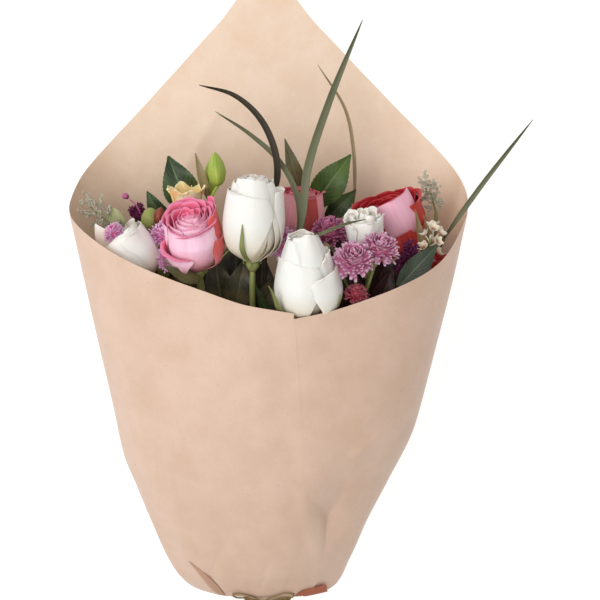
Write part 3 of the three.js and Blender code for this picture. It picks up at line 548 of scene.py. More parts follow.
def leaf_finish(name, dark, light, rib, roughness=0.42):
    made = Finish(name, Roughness=roughness, Specular_IOR_Level=0.4)
    along, across = made.mark("along"), made.mark("across")
    side = made.node("ShaderNodeMath", {0: across}, operation="ABSOLUTE").outputs["Value"]
    slanted = made.sum(made.sum(along, RIBS_ALONG, "MULTIPLY"), made.sum(side, -RIB_SLANT, "MULTIPLY"))
    turned_by = made.sum(slanted, FULL_TURN, "MULTIPLY")
    wave = made.node("ShaderNodeMath", {0: turned_by}, operation="SINE").outputs["Value"]
    veins = made.between(wave, 0.86, 1.0)
    midrib = made.between(side, 0.02, 0.09, 1, 0)
    run = made.blend(made.between(made.noise(60, 3), 0.35, 0.7), dark, light)
    run = made.blend(made.sum(veins, 0.35, "MULTIPLY"), run, rib)
    run = made.blend(made.sum(midrib, 0.6, "MULTIPLY"), run, rib)
    run = made.blend(made.between(made.mark("outer"), 0, 1, 0.45, 0), run, rib)
    made.paint(run)
    made.bump(made.sum(made.sum(veins, midrib), made.noise(500, 3)), 0.4, 0.0005)
    return made.material


def stalk_finish(name, base, other, roughness=0.45, streak=30):
    made = Finish(name, Roughness=roughness, Specular_IOR_Level=0.4)
    across = made.sum(made.mark("across"), streak, "MULTIPLY")
    lines = made.noise(1, 3, made.joined(across, made.mark("along"), 0.0))
    run = made.blend(made.between(lines, 0.35, 0.7), base, other)
    made.paint(made.blend(made.between(made.noise(45, 2), 0.4, 0.7, 0, 0.4), run, base))
    made.bump(made.sum(lines, made.noise(900, 2)), 0.3, 0.0003)
    return made.material


DARK_LEAF = leaf_finish("dark leaf", colour(38, 56, 32), colour(70, 92, 48), colour(110, 130, 86))
SHADE_LEAF = leaf_finish("shade leaf", colour(48, 48, 34), colour(92, 84, 54), colour(112, 108, 76))
MAROON_LEAF = leaf_finish("maroon leaf", colour(46, 22, 28), colour(74, 42, 42), colour(96, 76, 62))
BRIGHT_LEAF = leaf_finish("bright leaf", colour(58, 84, 36), colour(86, 112, 52), colour(122, 144, 84))
PALE_LEAF = leaf_finish("pale leaf", colour(150, 160, 110), colour(182, 184, 140), colour(200, 200, 164))
OLIVE_LEAF = leaf_finish("olive leaf", colour(80, 80, 48), colour(116, 108, 72), colour(136, 128, 94))
BROWN_LEAF = leaf_finish("brown leaf", colour(116, 90, 58), colour(138, 124, 84), colour(150, 140, 104))
BLUE_LEAF = leaf_finish("blue leaf", colour(44, 52, 42), colour(66, 78, 60), colour(112, 124, 104), 0.55)
GREEN_STEM = stalk_finish("green stem", colour(122, 130, 74), colour(152, 156, 100))
BLUSHED_BUD = stalk_finish("blushed bud", colour(132, 152, 80), colour(160, 150, 88), streak=1.4)
RED_BUD = stalk_finish("red bud", colour(140, 66, 50), colour(96, 36, 38), streak=2)
LIME_BUD = stalk_finish("lime bud", colour(140, 166, 62), colour(178, 192, 90), streak=8)
GRASS_BLADE = stalk_finish("grass blade", colour(86, 90, 62), colour(124, 124, 98), 0.5, 60)
DRY_GRASS = stalk_finish("dry grass", colour(150, 130, 98), colour(176, 160, 126), 0.6, 60)
DARK_GRASS = stalk_finish("dark grass", colour(40, 34, 22), colour(66, 58, 40), 0.6, 60)
GREY_SPRIG = stalk_finish("grey sprig", colour(174, 170, 150), colour(212, 208, 192), 0.8, 6)
TWINE = stalk_finish("twine", colour(150, 128, 88), colour(112, 92, 60), 0.85, 10)


# %% [markdown]
# ## The paper
# On the real bouquet this is one square sheet, rolled to a cone, lapped on the front and drawn in by
# the twine. A cloth simulation would have to be steered to the photo's folds, so the sheet is made from
# the stations, with its creases pressed in by formula: each is a soft valley or ridge along a line on
# the front.

# %% Creases of the paper
# Each crease: from [x, s] to [x, s] on the front, half width, and depth. A ridge has a negative depth.
CREASES = [
    [(-99, 146), (-75, 52), 4, 0.9],
    [(-73, 175), (-59, 44), 4, -0.7],
    [(-104, 246), (-62, 188), 9, 1.0],
    [(110, 164), (53, 123), 6, -1.2],
    [(106, 146), (60, 108), 7, 1.0],
    [(-30, 60), (-44, 24), 6, 0.9],
    [(2, 50), (-4, 20), 5, 0.8],
    [(20, 40), (14, 20), 4, 0.6],
]
BACK_CREASES = [[(64, 303), (78, 262), 5, 1.3], [(-34, 372), (-66, 318), 7, 0.8]]
# Facets pressed into the front right of the lap: the deepest place of each, and the corners where it ends.
DENTS = [
    {"deep": (57, 100), "depth": 3.6, "corners": [(28, 109), (41, 46), (80, 60), (96, 112), (62, 150)]},
    {"deep": (48.9, 75.4), "depth": 8.5, "corners": [
        (26.4, 109.7), (58.7, 100.9), (67.6, 67.1), (41.1, 44.6), (30.7, 80.6)]},
]
DENT_HOLLOW = 1.3
# Right of the lap's edge the front is flatter: how deep, and where that comes and goes, in degrees.
FLAT_SIDE = {"depth": 2.4, "from": 18, "fade": 32, "end": 75}
LAP_SETTLES = {"depth": 1.71, "before": 16, "over": 12}
LAP_STARTS = {"s": 10, "over": 25}
SLOW_WAVES, QUICK_WAVES = 0.3, 0.8


def crease_depth(creases, x, s):
    """How deep the creases press the paper in at x and s."""
    depth = np.zeros_like(x)
    for start, end, half, deep in creases:
        (x0, s0), (x1, s1) = start, end
        run = np.array([x1 - x0, s1 - s0], float)
        t = np.clip(((x - x0) * run[0] + (s - s0) * run[1]) / run.dot(run), 0, 1)
        off = np.hypot(x - x0 - t * run[0], s - s0 - t * run[1])
        swelling = np.sin(np.pi * np.clip(0.12 + 0.76 * t, 0, 1))
        depth += deep * np.exp(-np.abs(off / half) ** 1.4 * 2) * swelling
    return depth


def dent_depth(x, s, deep, depth, corners):
    """How deep a facet lies at x and s: a low pyramid with its point down and slightly hollow sides."""
    x0, s0 = deep
    share = np.zeros_like(x)
    for (x1, s1), (x2, s2) in zip(corners, corners[1:] + corners[:1]):
        area = (x1 - x0) * (s2 - s0) - (x2 - x0) * (s1 - s0)
        b = ((x - x0) * (s2 - s0) - (x2 - x0) * (s - s0)) / area
        c = ((x1 - x0) * (s - s0) - (x - x0) * (s1 - s0)) / area
        share = np.where((b >= 0) & (c >= 0), np.maximum(share, 1 - b - c), share)
    return depth * share**DENT_HOLLOW


def lap_depth(degrees, s):
    """The lap's free edge settles on the sheet under it, and right of it the front is flatter."""
    edge = lap_edge(s)
    settled = LAP_SETTLES["depth"] * ease((degrees - edge + LAP_SETTLES["before"]) / LAP_SETTLES["over"])
    past = degrees - (edge - 360)
    flatter = FLAT_SIDE["depth"] * ease(past / FLAT_SIDE["from"])
    flatter = flatter * (1 - ease((past - FLAT_SIDE["fade"]) / FLAT_SIDE["end"]))
    return np.where(degrees > 180, settled, flatter) * ease((s - LAP_STARTS["s"]) / LAP_STARTS["over"])


def crumple(degrees, s):
    """The slight waves of handled paper, stronger near the tie."""
    a = np.radians(degrees)
    slow = np.sin(3 * a + s / 31) + 0.7 * np.sin(5 * a - s / 23 + 1) + 0.5 * np.sin(9 * a + s / 17 + 2)
    quick = np.abs(np.sin(13 * a + 0.6 * np.sin(s / 9))) * np.exp(-np.clip(s - 8, 0, None) / 26)
    return SLOW_WAVES * slow * ease((s - 12) / 60) + QUICK_WAVES * quick * ease((s - 9) / 8)


# %% Paper sheet
PAPER_COLUMNS = 300
LOW_ROWS = np.concatenate([
    np.linspace(-60, -8, 16), np.linspace(-6, 8, 9), np.linspace(9, 14, 7), np.linspace(15.5, 33, 10)])
HIGH_ROWS = np.linspace(0, 1, 88)[1:]
SHEET_THICKNESS = 0.16
RIM_ROUNDS = 4
FACING = 2.5
FLOOR = {"z": 3, "over": 25}


def degrees_at(u, s):
    """Degrees round the paper at a share u of the sheet's width, from its inner edge to the lap's edge."""
    return np.where(u < 0.5, mix(INNER_EDGE_DEG, 180, 2 * u), mix(180, lap_edge(s), 2 * u - 1))


def paper_grid():
    """The middle of the sheet. Rim and degrees depend on each other, so the rim is found in rounds."""
    u = np.linspace(0, 1, PAPER_COLUMNS + 1)[None, :]
    low = np.repeat(LOW_ROWS[:, None], PAPER_COLUMNS + 1, 1)
    share = HIGH_ROWS[:, None]
    high = np.full((len(HIGH_ROWS), PAPER_COLUMNS + 1), LOW_ROWS[-1])
    for _ in range(RIM_ROUNDS):
        high = mix(LOW_ROWS[-1], rim_at(degrees_at(u, high)), share)
    s = np.concatenate([low, high])
    degrees = degrees_at(u, s)
    points = paper_point(degrees, s)
    normal = np.cross(np.gradient(points, axis=1), np.gradient(points, axis=0))
    normal /= np.linalg.norm(normal, axis=2, keepdims=True)
    forward = np.cos(np.radians(degrees))
    front, back = np.clip(forward * FACING, 0, 1), np.clip(-forward * FACING, 0, 1)
    off_floor = ease((points[..., 2] - FLOOR["z"]) / FLOOR["over"])
    x = points[..., 0]
    inward = crease_depth(CREASES, x, s) * front + crease_depth(BACK_CREASES, x, s) * back
    inward = inward + sum(dent_depth(x, s, **dent) for dent in DENTS) * front
    inward = inward + crumple(degrees, s) * off_floor + lap_depth(degrees, s)
    return points - normal * inward[..., None]


paper = Piece()
paper.add(thin_sheet(paper_grid(), SHEET_THICKNESS, lift=(PAPER - SHEET_THICKNESS) / 2))
paper_sheet = paper.make("kraft_wrap", kraft.material, "kraft_paper", ["paper_wrap"])
sheet_area = sum(f.area for f in paper_sheet.data.polygons) / 2
print("area of the sheet, square metres:", round(sheet_area, 3))

# %% [markdown]
# Where the paper is drawn in, two of its folds gape a little and show their shaded inside. That shade is
# painted: each fold is a narrow sheet painted dark, which lies over the paper, given by its upper and its
# lower edge as places [x, s] on the front.

# %% Open folds at the foot of the paper
FOLD_ABOVE = 0.5
FOLD_THICKNESS = 0.3
DEEP_FOLD, SHALLOW_FOLD = 0, 1
FOLDS = {
    "right": ([(17.4, 6), (25.4, 16.7), (34.7, 20.6), (44.8, 22.8)],
              [(19, 2), (27.3, 8), (36.4, 11), (45.1, 13.4)], DEEP_FOLD),
    "left": ([(-56.8, 43.3), (-45, 34), (-36.5, 24), (-29.7, 10)],
             [(-56.9, 43), (-48, 30), (-41, 19), (-31, 8)], SHALLOW_FOLD),
}
fold_shade = Finish("painted fold shade", Roughness=0.8, Specular_IOR_Level=0.2)
# Painted shade: a dark brick red in the deep fold, a dull tan in the shallow one, and paler towards the
# sheet's lower edge.
fold_tone = fold_shade.blend(fold_shade.mark("own"), colour(178, 106, 80), colour(190, 152, 130))
fold_shade_fade = fold_shade.between(fold_shade.mark("along"), 0.0, 0.5, 0.5, 0)
fold_shade.paint(fold_shade.blend(fold_shade_fade, fold_tone, colour(210, 180, 158)))
for side, (upper, lower, tone) in FOLDS.items():
    lines = [smooth_line([[x, s, 0] for x, s in line], 24) for line in (lower, upper)]
    rows = [
        [over_front(*mix(low, high, t)[:2], FOLD_ABOVE) for low, high in zip(*lines)]
        for t in np.linspace(0, 1, 5)]
    fold = thin_sheet(np.array(rows), FOLD_THICKNESS, tone)
    make_piece(f"fold_shade_sheet_{side}", fold_shade.material, "kraft_paper", [], fold)

# %% [markdown]
# ## The twine
# Two thin strands twisted together make the twine, so each run of it is two tubes that wind round one
# line. The wraps hold the waist, the knot sits over them and the bow has two loops. Winding the strands
# by formula keeps the twist even in the tight bends, where a texture would stretch.

# %% Twisted strands
TWIST_LENGTH = 3.2
STRAND_R = 0.42
STRAND_OFFSET = 0.33
STRAND_STEP = 0.5


def add_twine(piece, line):
    """Two strands that wind round a line."""
    fine, steps = even_points(line, max(8, int(length_of(line) / STRAND_STEP)))
    normals, others = frames_along(fine)
    for strand in range(2):
        turn = 2 * np.pi * steps / TWIST_LENGTH + strand * np.pi
        wound = fine + STRAND_OFFSET * (np.cos(turn)[:, None] * normals + np.sin(turn)[:, None] * others)
        piece.add(tube(wound, STRAND_R, 6, own=strand))


# %% Wraps, knot and bow
TWINE_WRAPS = [2.6, 4, 5.4]
WRAP_STARTS = 40
GAP = 0.3
KNOT = {"x": -3, "s": 4.5, "half": 2.6}
KNOT_TURNS = [(0.35, 2.5), (-0.3, 2.2), (1.5, 2.4)]
# Each place of a loop: x, the distance from the tie, and the height over the paper.
BOW_LOOPS = [
    [[-8, 9.5, 4], [-14, 14, 2.4], [-20, 16, 2], [-25, 14.5, 2.2], [-23, 12, 3.6], [-14, 9.5, 5]],
    [[2, 9.5, 4], [8, 14, 2.4], [14, 16.5, 2], [20, 15, 2.2], [19, 12, 3.6], [9, 9.5, 5]],
]


def twine_wrap(s):
    """One wrap round the waist. It starts on the lap, and stands off the paper by the lap's lift there."""
    degrees = WRAP_STARTS + np.linspace(0, 360, 64)
    out = np.radians(degrees)
    off_lap = LAP_LIFT * (1 - ease((degrees - WRAP_STARTS) / 60))
    over_lap = np.where(degrees < LAP_RISE["start"], off_lap, 0)
    away = PAPER / 2 + TWINE_R + 2 * GAP + over_lap
    radial = np.stack([np.sin(out), np.zeros_like(out), np.cos(out)], -1)
    return paper_point(degrees, np.full_like(degrees, s)) + radial * away[:, None]


knot_at = over_front(KNOT["x"], KNOT["s"], GAP + KNOT["half"])
bow = Piece()
for s in TWINE_WRAPS:
    add_twine(bow, twine_wrap(s))
for by in BOW_LOOPS:
    corners = [knot_at, *[over_front(*place) for place in by], knot_at - [0, TWINE_R, 0]]
    add_twine(bow, smooth_line(corners, 90))
knot_turns = np.linspace(0, 2 * np.pi, 40)
for tilt, size in KNOT_TURNS:
    ring = np.stack([
        size * np.cos(knot_turns), size * 0.8 * np.sin(knot_turns), 0.9 * np.sin(knot_turns)], -1)
    turn = np.array([[math.cos(tilt), 0, -math.sin(tilt)], [0, 1, 0], [math.sin(tilt), 0, math.cos(tilt)]])
    add_twine(bow, ring @ turn + knot_at)
bow.make("twine_knot", TWINE, "twine", ["twine_bow"])

# %% Twine ends
for name, route in twine_routes.items():
    end = Piece()
    add_twine(end, route)
    made = end.make(f"{name}_strands", TWINE, "twine", [name])
    path = route * MM
    length = length_of(path)

# %% [markdown]
# ## The bundle of stems
# Every bloom has its own stem, which runs down inside the paper, through the tie and out at the tail.
# At the tie the stems stand in a hexagonal bundle. A stem takes a slot on the same side as its flower,
# so that none cross.

# %% Stems and their slots
TAIL_SPREAD = [[-74, 1.4], [-6, 1]]
STEM_R = 2.05
STEM_STEPS = 60
SLOT_PITCH = 4.4
FAN = {"start": 8, "length": 250, "power": 1.2, "stations": [8, 28, 80, 160]}
SLOT_AIM = {"x": 1 / 9, "z": 1 / 4.5, "rise": 42}
NECK = 14
# Each stem: where it meets its bloom or spray, and the way it points there.
STEMS = {
    "rose_white_tall": ([-8, 50, 116], [0.02, 0.99, 0.08]),
    "rose_white_front": ([30.5, 12, 129], [-0.07, 0.98, 0.17]),
    "rose_pink_left": ([-46.5, 43, 110], [-0.14, 0.95, 0.2]),
    "rose_pink_back": ([23.5, 51, 72], [0, 0.99, 0.1]),
    "rose_coral_right": ([97, 51, 57], [-0.3, 0.85, 0.3]),
    "lisianthus_right": ([72, 54, 104], [-0.1, 0.95, 0.22]),
    "lisianthus_left": ([-82, 36, 104], [-0.55, 0.8, 0.14]),
    "alstroemeria": ([-56, 68, 75], [0, 0.97, 0.1]),
    "mum_left": ([-72, 30, 84], [0, 0.99, 0.1]),
    "mum_centre": ([12, 40, 92], [0, 0.99, 0.1]),
    "mum_right": ([66, 14, 114], [0.1, 0.97, 0.1]),
    "limonium_left": ([-102, 62, 74], [-0.5, 0.86, 0.05]),
    "limonium_right": ([124, 76, 56], [0.05, 0.99, 0]),
    "waxflower": ([113, 50, 98], [0.15, 0.98, 0]),
    "freesia_red": ([118, 26, 84], [0.25, 0.95, 0.15]),
    "statice_left": ([-89, 70, 71], [-0.1, 0.98, 0.05]),
    "statice_right": ([98, 34, 101], [0.1, 0.98, 0.1]),
    "bud_left": ([-81, 67, 82], [-0.05, 0.98, 0.1]),
    "grass_left": ([0, 84, 84], [0, 0.99, 0.1]),
    "grass_centre": ([23, 60, 106], [0, 0.99, 0]),
    "grass_back": ([64, 80, 41], [0, 0.99, 0]),
    "grass_right": ([128, 60, 76], [0.4, 0.9, 0]),
    "foliage_left": ([-62, 62, 52], [-0.3, 0.95, 0]),
    "foliage_centre": ([30, 64, 46], [0.1, 0.99, 0]),
    "foliage_right": ([90, 8, 108], [0.2, 0.95, 0]),
    "foliage_front": ([-26, 0, 112], [0, 0.99, 0]),
}


def unit(direction):
    """The same direction with a length of one."""
    direction = np.array(direction, float)
    return direction / np.linalg.norm(direction)


def stem_top(name):
    """Where a stem meets its bloom or spray, and the way it points there."""
    base, grow = STEMS[name]
    return np.array(base, float), unit(grow)


def spread(s):
    """How far a stem has spread from its slot, as a share of its spread one fan length above the tie."""
    return max(0.0, (s - FAN["start"]) / FAN["length"]) ** FAN["power"]


def share_slots():
    """A slot of the bundle for every stem, by swapping two wherever that brings both nearer to their aims."""
    free = [
        (SLOT_PITCH * (q + r / 2), SLOT_PITCH * r * math.sqrt(3) / 2)
        for q in range(-4, 5) for r in range(-4, 5)]
    free.sort(key=lambda at: (round(math.hypot(*at), 9), at))
    aims = []
    for base, _ in STEMS.values():
        fan = spread(base[1] - TIE_Y)
        up = (base[2] - TIE_Z) / fan - SLOT_AIM["rise"]
        aims.append((base[0] / fan * SLOT_AIM["x"], up * SLOT_AIM["z"]))

    def cost(i, j):
        return (aims[i][0] - free[j][0]) ** 2 + (aims[i][1] - free[j][1]) ** 2

    own = list(range(len(STEMS)))
    swapped = True
    while swapped:
        swapped = False
        for i in range(len(own)):
            for j in range(i + 1, len(own)):
                if cost(i, own[j]) + cost(j, own[i]) < cost(i, own[i]) + cost(j, own[j]) - 1e-6:
                    own[i], own[j] = own[j], own[i]
                    swapped = True
    return {name: free[own[k]] for k, name in enumerate(STEMS)}


SLOTS = share_slots()


def stem_line(name, shorter=0.0):
    """The line of a stem from its cut end to where its bloom or spray starts."""
    base, grow = stem_top(name)
    base = base - shorter * grow
    slot_x, slot_z = SLOTS[name]
    neck = base - NECK * grow
    fan = spread(neck[1] - TIE_Y)
    below = [[slot_x * w, TIE_Y + s, TIE_Z + slot_z * w] for s, w in TAIL_SPREAD]
    above = []
    for s in FAN["stations"]:
        if s < base[1] - TIE_Y - 2 * NECK:
            share = spread(s) / fan
            above.append([mix(slot_x, neck[0], share), TIE_Y + s, mix(TIE_Z + slot_z, neck[2], share)])
    return np.array([*below, *above, neck, base])


def stem_tube(name, top_radius, shorter=0.0):
    """A stem, slightly knobbly, that narrows to its top radius."""
    line = smooth_line(stem_line(name, shorter), STEM_STEPS)
    t = np.linspace(0, 1, STEM_STEPS + 1)
    knobbly = 1 + 0.05 * np.sin(t * 41 + len(name))
    return tube(line, mix(STEM_R, top_radius, ease(t * 1.2 - 0.2)) * knobbly, sides=10)


print("slots of the bundle:", len(SLOTS))

# %% [markdown]
# ## Roses
# A rose is a bud wrapped in petals, each wider than the last. Every petal here is a grid that starts as
# a cup round the axis: a profile takes it from its narrow foot over the belly to its rim, and the rim
# rolls outward. One edge tucks under the next petal, which gives the spiral at the top. Modelling by
# hand would give one good rose, but the formula gives five that differ, and the closed lisianthus at
# the left as well.

# %% Rose petal
PETAL_THICKNESS = 0.4


def petal_profile(foot, belly, top, height, roll, roll_radius):
    """Radius and height along a petal's middle, from its foot over its belly to a rim that rolls outward."""
    body = smooth_line([
        [foot, 0, 0], [mix(foot, belly, 0.78), 0.2 * height, 0], [belly, 0.52 * height, 0],
        [mix(belly, top, 0.46), 0.8 * height, 0], [top, height, 0]], 20)[:, :2]
    way = unit(body[-1] - body[-2])
    turns = np.linspace(0, roll, 9)[1:]
    side = np.array([way[1], -way[0]])
    rolled = body[-1] + roll_radius * (np.sin(turns)[:, None] * way + (1 - np.cos(turns))[:, None] * side)
    return np.concatenate([body, rolled])


def cupped_petal(
        rng, turn, half, foot, belly, top, height, roll, roll_radius, tuck, ruffle, own, columns=15,
        slope=0.0, hug=0.05):
    """slope lifts one side of the rim, and hug draws the two long edges in to the petals under them."""
    profile = petal_profile(foot, belly, top, height, roll, roll_radius)
    count = len(profile)
    v = np.linspace(0, 1, count)[:, None]
    u = np.linspace(-1, 1, columns)[None, :]
    point_at = 0.1 * rng.uniform(-1, 1)
    lower = 0.1 * np.abs(u - point_at) ** 2 + 0.16 * np.abs(u) ** 7
    at = np.clip(v * (1 - lower * v**2), 0, 1) * (count - 1)
    low = np.minimum(at.astype(int), count - 2)
    radius = mix(profile[low, 0], profile[low + 1, 0], at - low)
    z = mix(profile[low, 1], profile[low + 1, 1], at - low)
    wide = mix(0.4, 1, ease(np.minimum(v / 0.6, 1))) * (1 - 0.12 * v**6)
    phase = rng.uniform(0, 6.28, 3)
    wavy = np.sin(3.1 * u + phase[0]) + 0.6 * np.sin(6.3 * u + phase[1]) + 0.3 * np.sin(11 * u + phase[2])
    radius = radius * (1 - hug * np.abs(u) ** 3 * ease(2 * v))
    radius = radius + ruffle * v**3 * wavy + tuck * u * ease(v * 2)
    z = z * (1 + slope * u * v) + 0.6 * ruffle * v**4 * np.sin(4.3 * u + phase[1])
    z = z - 0.02 * height * np.abs(u) * v
    angle = turn + half * u * wide + 0.05 * np.sin(3 * v + phase[0])
    points = np.stack([radius * np.cos(angle), radius * np.sin(angle), z], -1)
    return thin_sheet(points, PETAL_THICKNESS, own)


# %% [markdown]
# ### Petal by petal
# The petals in the middle are made ring by ring. The outer ones give each rose its own face, so each
# has a row of its own: where it stands in degrees (0 faces the viewer, 90 is right), half its width in
# radians, its height, its belly and its top as shares of the rose's, how far the rim rolls, how
# tightly, how it ruffles, how its rim slopes, and its paint. The first numbers say how closed the
# middle is, and how far it rolls and tucks.

# %% Rose bloom
PLAIN, ACCENT = 0.4, 0.95
ROSES = {
    "rose_white_tall": dict(radius=21.5, height=62, middle=0.46, crown=1.0, roll=0.2, tuck=0.4, petals=[
        (200, 1.2, 0.95, 0.90, 0.56, 0.15, 2.0, 0.5, 0, PLAIN),
        (100, 1.1, 0.94, 0.93, 0.60, 0.15, 2.0, 0.6, 0, PLAIN),
        (262, 1.0, 0.92, 0.95, 0.66, 0.2, 2.0, 0.8, 0, PLAIN),
        (335, 1.3, 0.98, 0.94, 0.56, 0.15, 2.0, 0.5, 0, PLAIN),
        (128, 1.3, 0.79, 1.04, 0.97, 0.9, 2.2, 1.4, -0.08, PLAIN),
        (322, 1.5, 0.82, 1.02, 0.86, 0.5, 2.2, 1.2, -0.06, PLAIN)]),
    "rose_white_front": dict(radius=24, height=62, middle=0.34, crown=0.99, roll=0.2, tuck=0.5, petals=[
        (180, 1.1, 1.00, 0.78, 0.42, 0.2, 2.2, 1.2, 0, PLAIN),
        (260, 1.0, 0.97, 0.80, 0.42, 0.3, 2.2, 1.4, 0, PLAIN),
        (110, 1.0, 0.94, 0.84, 0.50, 0.3, 2.2, 1.6, 0, PLAIN),
        (15, 1.0, 1.02, 0.80, 0.40, 0.2, 2.2, 1.4, 0, PLAIN),
        (320, 0.9, 0.97, 0.82, 0.42, 0.3, 2.2, 1.4, 0, PLAIN),
        (90, 0.9, 0.76, 0.92, 0.78, 0.9, 2.6, 2.0, 0, PLAIN),
        (330, 1.2, 0.74, 0.98, 0.72, 0.3, 2.4, 1.4, -0.08, PLAIN),
        (66, 1.0, 0.60, 1.06, 1.00, 0.7, 2.8, 1.6, 0.05, PLAIN)]),
    "rose_pink_left": dict(radius=20, height=50, middle=0.8, crown=1.0, roll=1.6, tuck=1.3, tilt=0.4, petals=[
        (180, 1.0, 0.97, 0.90, 0.84, 1.2, 1.8, 0.6, 0, PLAIN),
        (240, 0.9, 0.95, 0.92, 0.86, 1.5, 2.0, 0.7, 0, PLAIN),
        (120, 0.9, 0.93, 0.92, 0.86, 1.4, 2.0, 0.7, 0, PLAIN),
        (320, 0.85, 0.95, 0.96, 0.88, 1.8, 2.2, 0.8, 0, PLAIN),
        (40, 0.9, 0.93, 0.96, 0.88, 1.8, 2.2, 0.8, 0, PLAIN),
        (5, 0.95, 0.92, 1.00, 0.96, 1.6, 2.0, 0.6, 0.04, PLAIN),
        (90, 0.75, 1.05, 1.04, 0.98, 0.8, 2.2, 0.8, 0, ACCENT),
        (62, 0.42, 0.60, 1.07, 1.06, 0.5, 2.2, 0.6, 0, ACCENT),
        (312, 0.78, 0.46, 1.08, 1.12, 2.2, 2.4, 0.5, -0.35, PLAIN)]),
    "rose_pink_back": dict(radius=18.5, height=46, middle=0.7, crown=0.97, roll=1.0, tuck=0.9, petals=[
        (180, 1.1, 0.95, 0.90, 0.80, 0.8, 2.0, 0.6, 0, PLAIN),
        (255, 1.0, 0.93, 0.93, 0.82, 1.2, 2.0, 0.6, 0, PLAIN),
        (110, 0.9, 0.90, 0.95, 0.84, 1.0, 2.0, 0.8, 0, PLAIN),
        (325, 1.0, 0.98, 0.97, 0.90, 0.6, 2.0, 0.6, 0, PLAIN),
        (62, 0.8, 0.92, 1.02, 0.92, 1.6, 2.4, 0.9, 0, PLAIN),
        (34, 0.36, 0.9, 1.04, 0.98, 0.9, 2.4, 0.9, 0, ACCENT)]),
    "rose_coral_right": dict(radius=25.5, height=37, middle=0.7, crown=0.95, roll=1.0, tuck=1.0, petals=[
        (180, 1.0, 0.95, 0.88, 0.86, 0.9, 2.0, 0.7, 0, PLAIN),
        (240, 0.9, 1.00, 0.93, 0.92, 1.0, 2.2, 0.8, 0, PLAIN),
        (120, 0.8, 0.95, 0.95, 0.94, 1.2, 2.2, 0.8, 0, PLAIN),
        (300, 0.8, 1.08, 0.93, 0.86, 1.2, 2.2, 0.9, 0, PLAIN),
        (80, 0.75, 0.98, 1.00, 1.00, 1.6, 2.6, 0.9, 0, PLAIN),
        (24, 0.8, 1.30, 0.96, 0.84, 0.7, 2.2, 0.6, 0.04, ACCENT),
        (340, 0.9, 0.55, 1.03, 1.00, 0.5, 2.4, 0.8, 0.1, PLAIN),
        (55, 0.75, 0.50, 1.04, 1.02, 0.6, 2.4, 0.8, 0.1, PLAIN)]),
    "lisianthus_left": dict(radius=18, height=40, middle=0.6, crown=0.88, roll=0.6, tuck=0.8, petals=[
        (180, 1.1, 0.92, 0.90, 0.80, 0.8, 2.0, 1.2, 0, PLAIN),
        (268, 1.0, 0.94, 0.95, 0.94, 1.0, 2.0, 1.4, 0, PLAIN),
        (60, 1.0, 0.92, 1.08, 1.10, 0.6, 2.2, 1.8, 0, PLAIN),
        (95, 1.1, 1.00, 0.95, 0.86, 0.6, 2.0, 1.0, 0, PLAIN),
        (12, 1.1, 0.99, 1.00, 0.92, 0.6, 2.0, 1.2, 0, PLAIN)]),
}
MIDDLE_RINGS = [3, 3, 4, 5]


def tilted(part, radius, height, tilt):
    """Turns a bloom's mouth to the viewer: the side that faces them sinks, and most at the rim."""
    points, faces, marks = part
    points = np.array(points, float)
    points[:, 2] -= tilt * np.maximum(points[:, 0] + radius, 0) * ease((points[:, 2] / height - 0.2) / 0.8)
    return points, faces, marks


def rose_parts(seed, radius, height, middle, crown, roll, tuck, petals, tilt=0.0):
    """A solid heart, rings of closed petals round it, and the outer petals one by one."""
    rng = np.random.default_rng(seed)
    peak, inner = height * crown, radius * middle
    core = [
        [0, 0], [4, 1], [inner * 0.9, peak * 0.4], [inner * 0.75, peak * 0.8], [inner * 0.4, peak * 0.92],
        [0, peak * 0.94]]
    parts = [turned(core, 18)]
    start = 0.0
    for ring, count in enumerate(MIDDLE_RINGS):
        q = (ring + 0.5) / len(MIDDLE_RINGS)
        for k in range(count):
            turn = start + 2 * np.pi * k / count + rng.uniform(-0.1, 0.1)
            parts.append(cupped_petal(
                rng, turn, mix(1.25, 0.9, q), mix(2.2, 4, q), radius * mix(0.3, 0.84, q),
                inner * mix(0.15, 1, q), peak * rng.uniform(0.955, 1.0) - 1.2,
                roll * mix(0.4, 1, q) * rng.uniform(0.8, 1.15), mix(1.2, 2.2, q), tuck * mix(0.5, 1, q), 0.6,
                0.8 * rng.random()))
        start += np.pi / count + 0.35
    for turn, half, tall, belly, top, rolled, roll_radius, ruffle, slope, paint in petals:
        own = 0.8 * rng.random() if paint == PLAIN else paint
        parts.append(cupped_petal(
            rng, math.radians(turn), half, 5, radius * belly, radius * top, height * tall - 1.2, rolled,
            roll_radius, tuck, ruffle, own, columns=25, slope=slope, hug=0.1))
    return [tilted(part, radius, height, tilt) for part in parts]


# %% [markdown]
# ### Under a bloom
# A cup of the calyx joins the bloom to its stem, and narrow sepals stand round its foot. The stem ends
# inside the cup, a little below the petals.

# %% Calyx, sepals and stem
SEPAL_THICKNESS = 0.5
CALYX_DROP = 5


def sepal(rng, turn, length, hug, width, lean):
    """A narrow green sepal that stands just clear of the petals and curls out at its tip."""
    v = np.linspace(0, 1, 14)[:, None]
    u = np.linspace(-1, 1, 5)[None, :]
    z = mix(-2.6, length, v)
    radius = np.maximum(4.4, mix(3, hug, np.sin(np.pi / 2 * np.clip(z / 17, 0, 1)))) + 1.7 + lean * v**2.5
    radius = radius + 0.5 * (u**2) * (1 - v)
    wide = width * (0.35 + 0.75 * np.sin(np.pi * (0.15 + 0.6 * v))) * (1 - v**2.2) + 0.12
    angle = turn + u * wide / np.maximum(radius, 5) + 0.1 * v * rng.uniform(-1, 1)
    grid = np.stack([radius * np.cos(angle), radius * np.sin(angle), z + 0 * u], -1)
    return thin_sheet(grid, SEPAL_THICKNESS, rng.random())


CALYX_CUP = [[0, -8], [2.0, -7.6], [3.2, -6], [5.0, -3], [4.6, -0.8], [3.6, -0.3], [0, -0.3]]


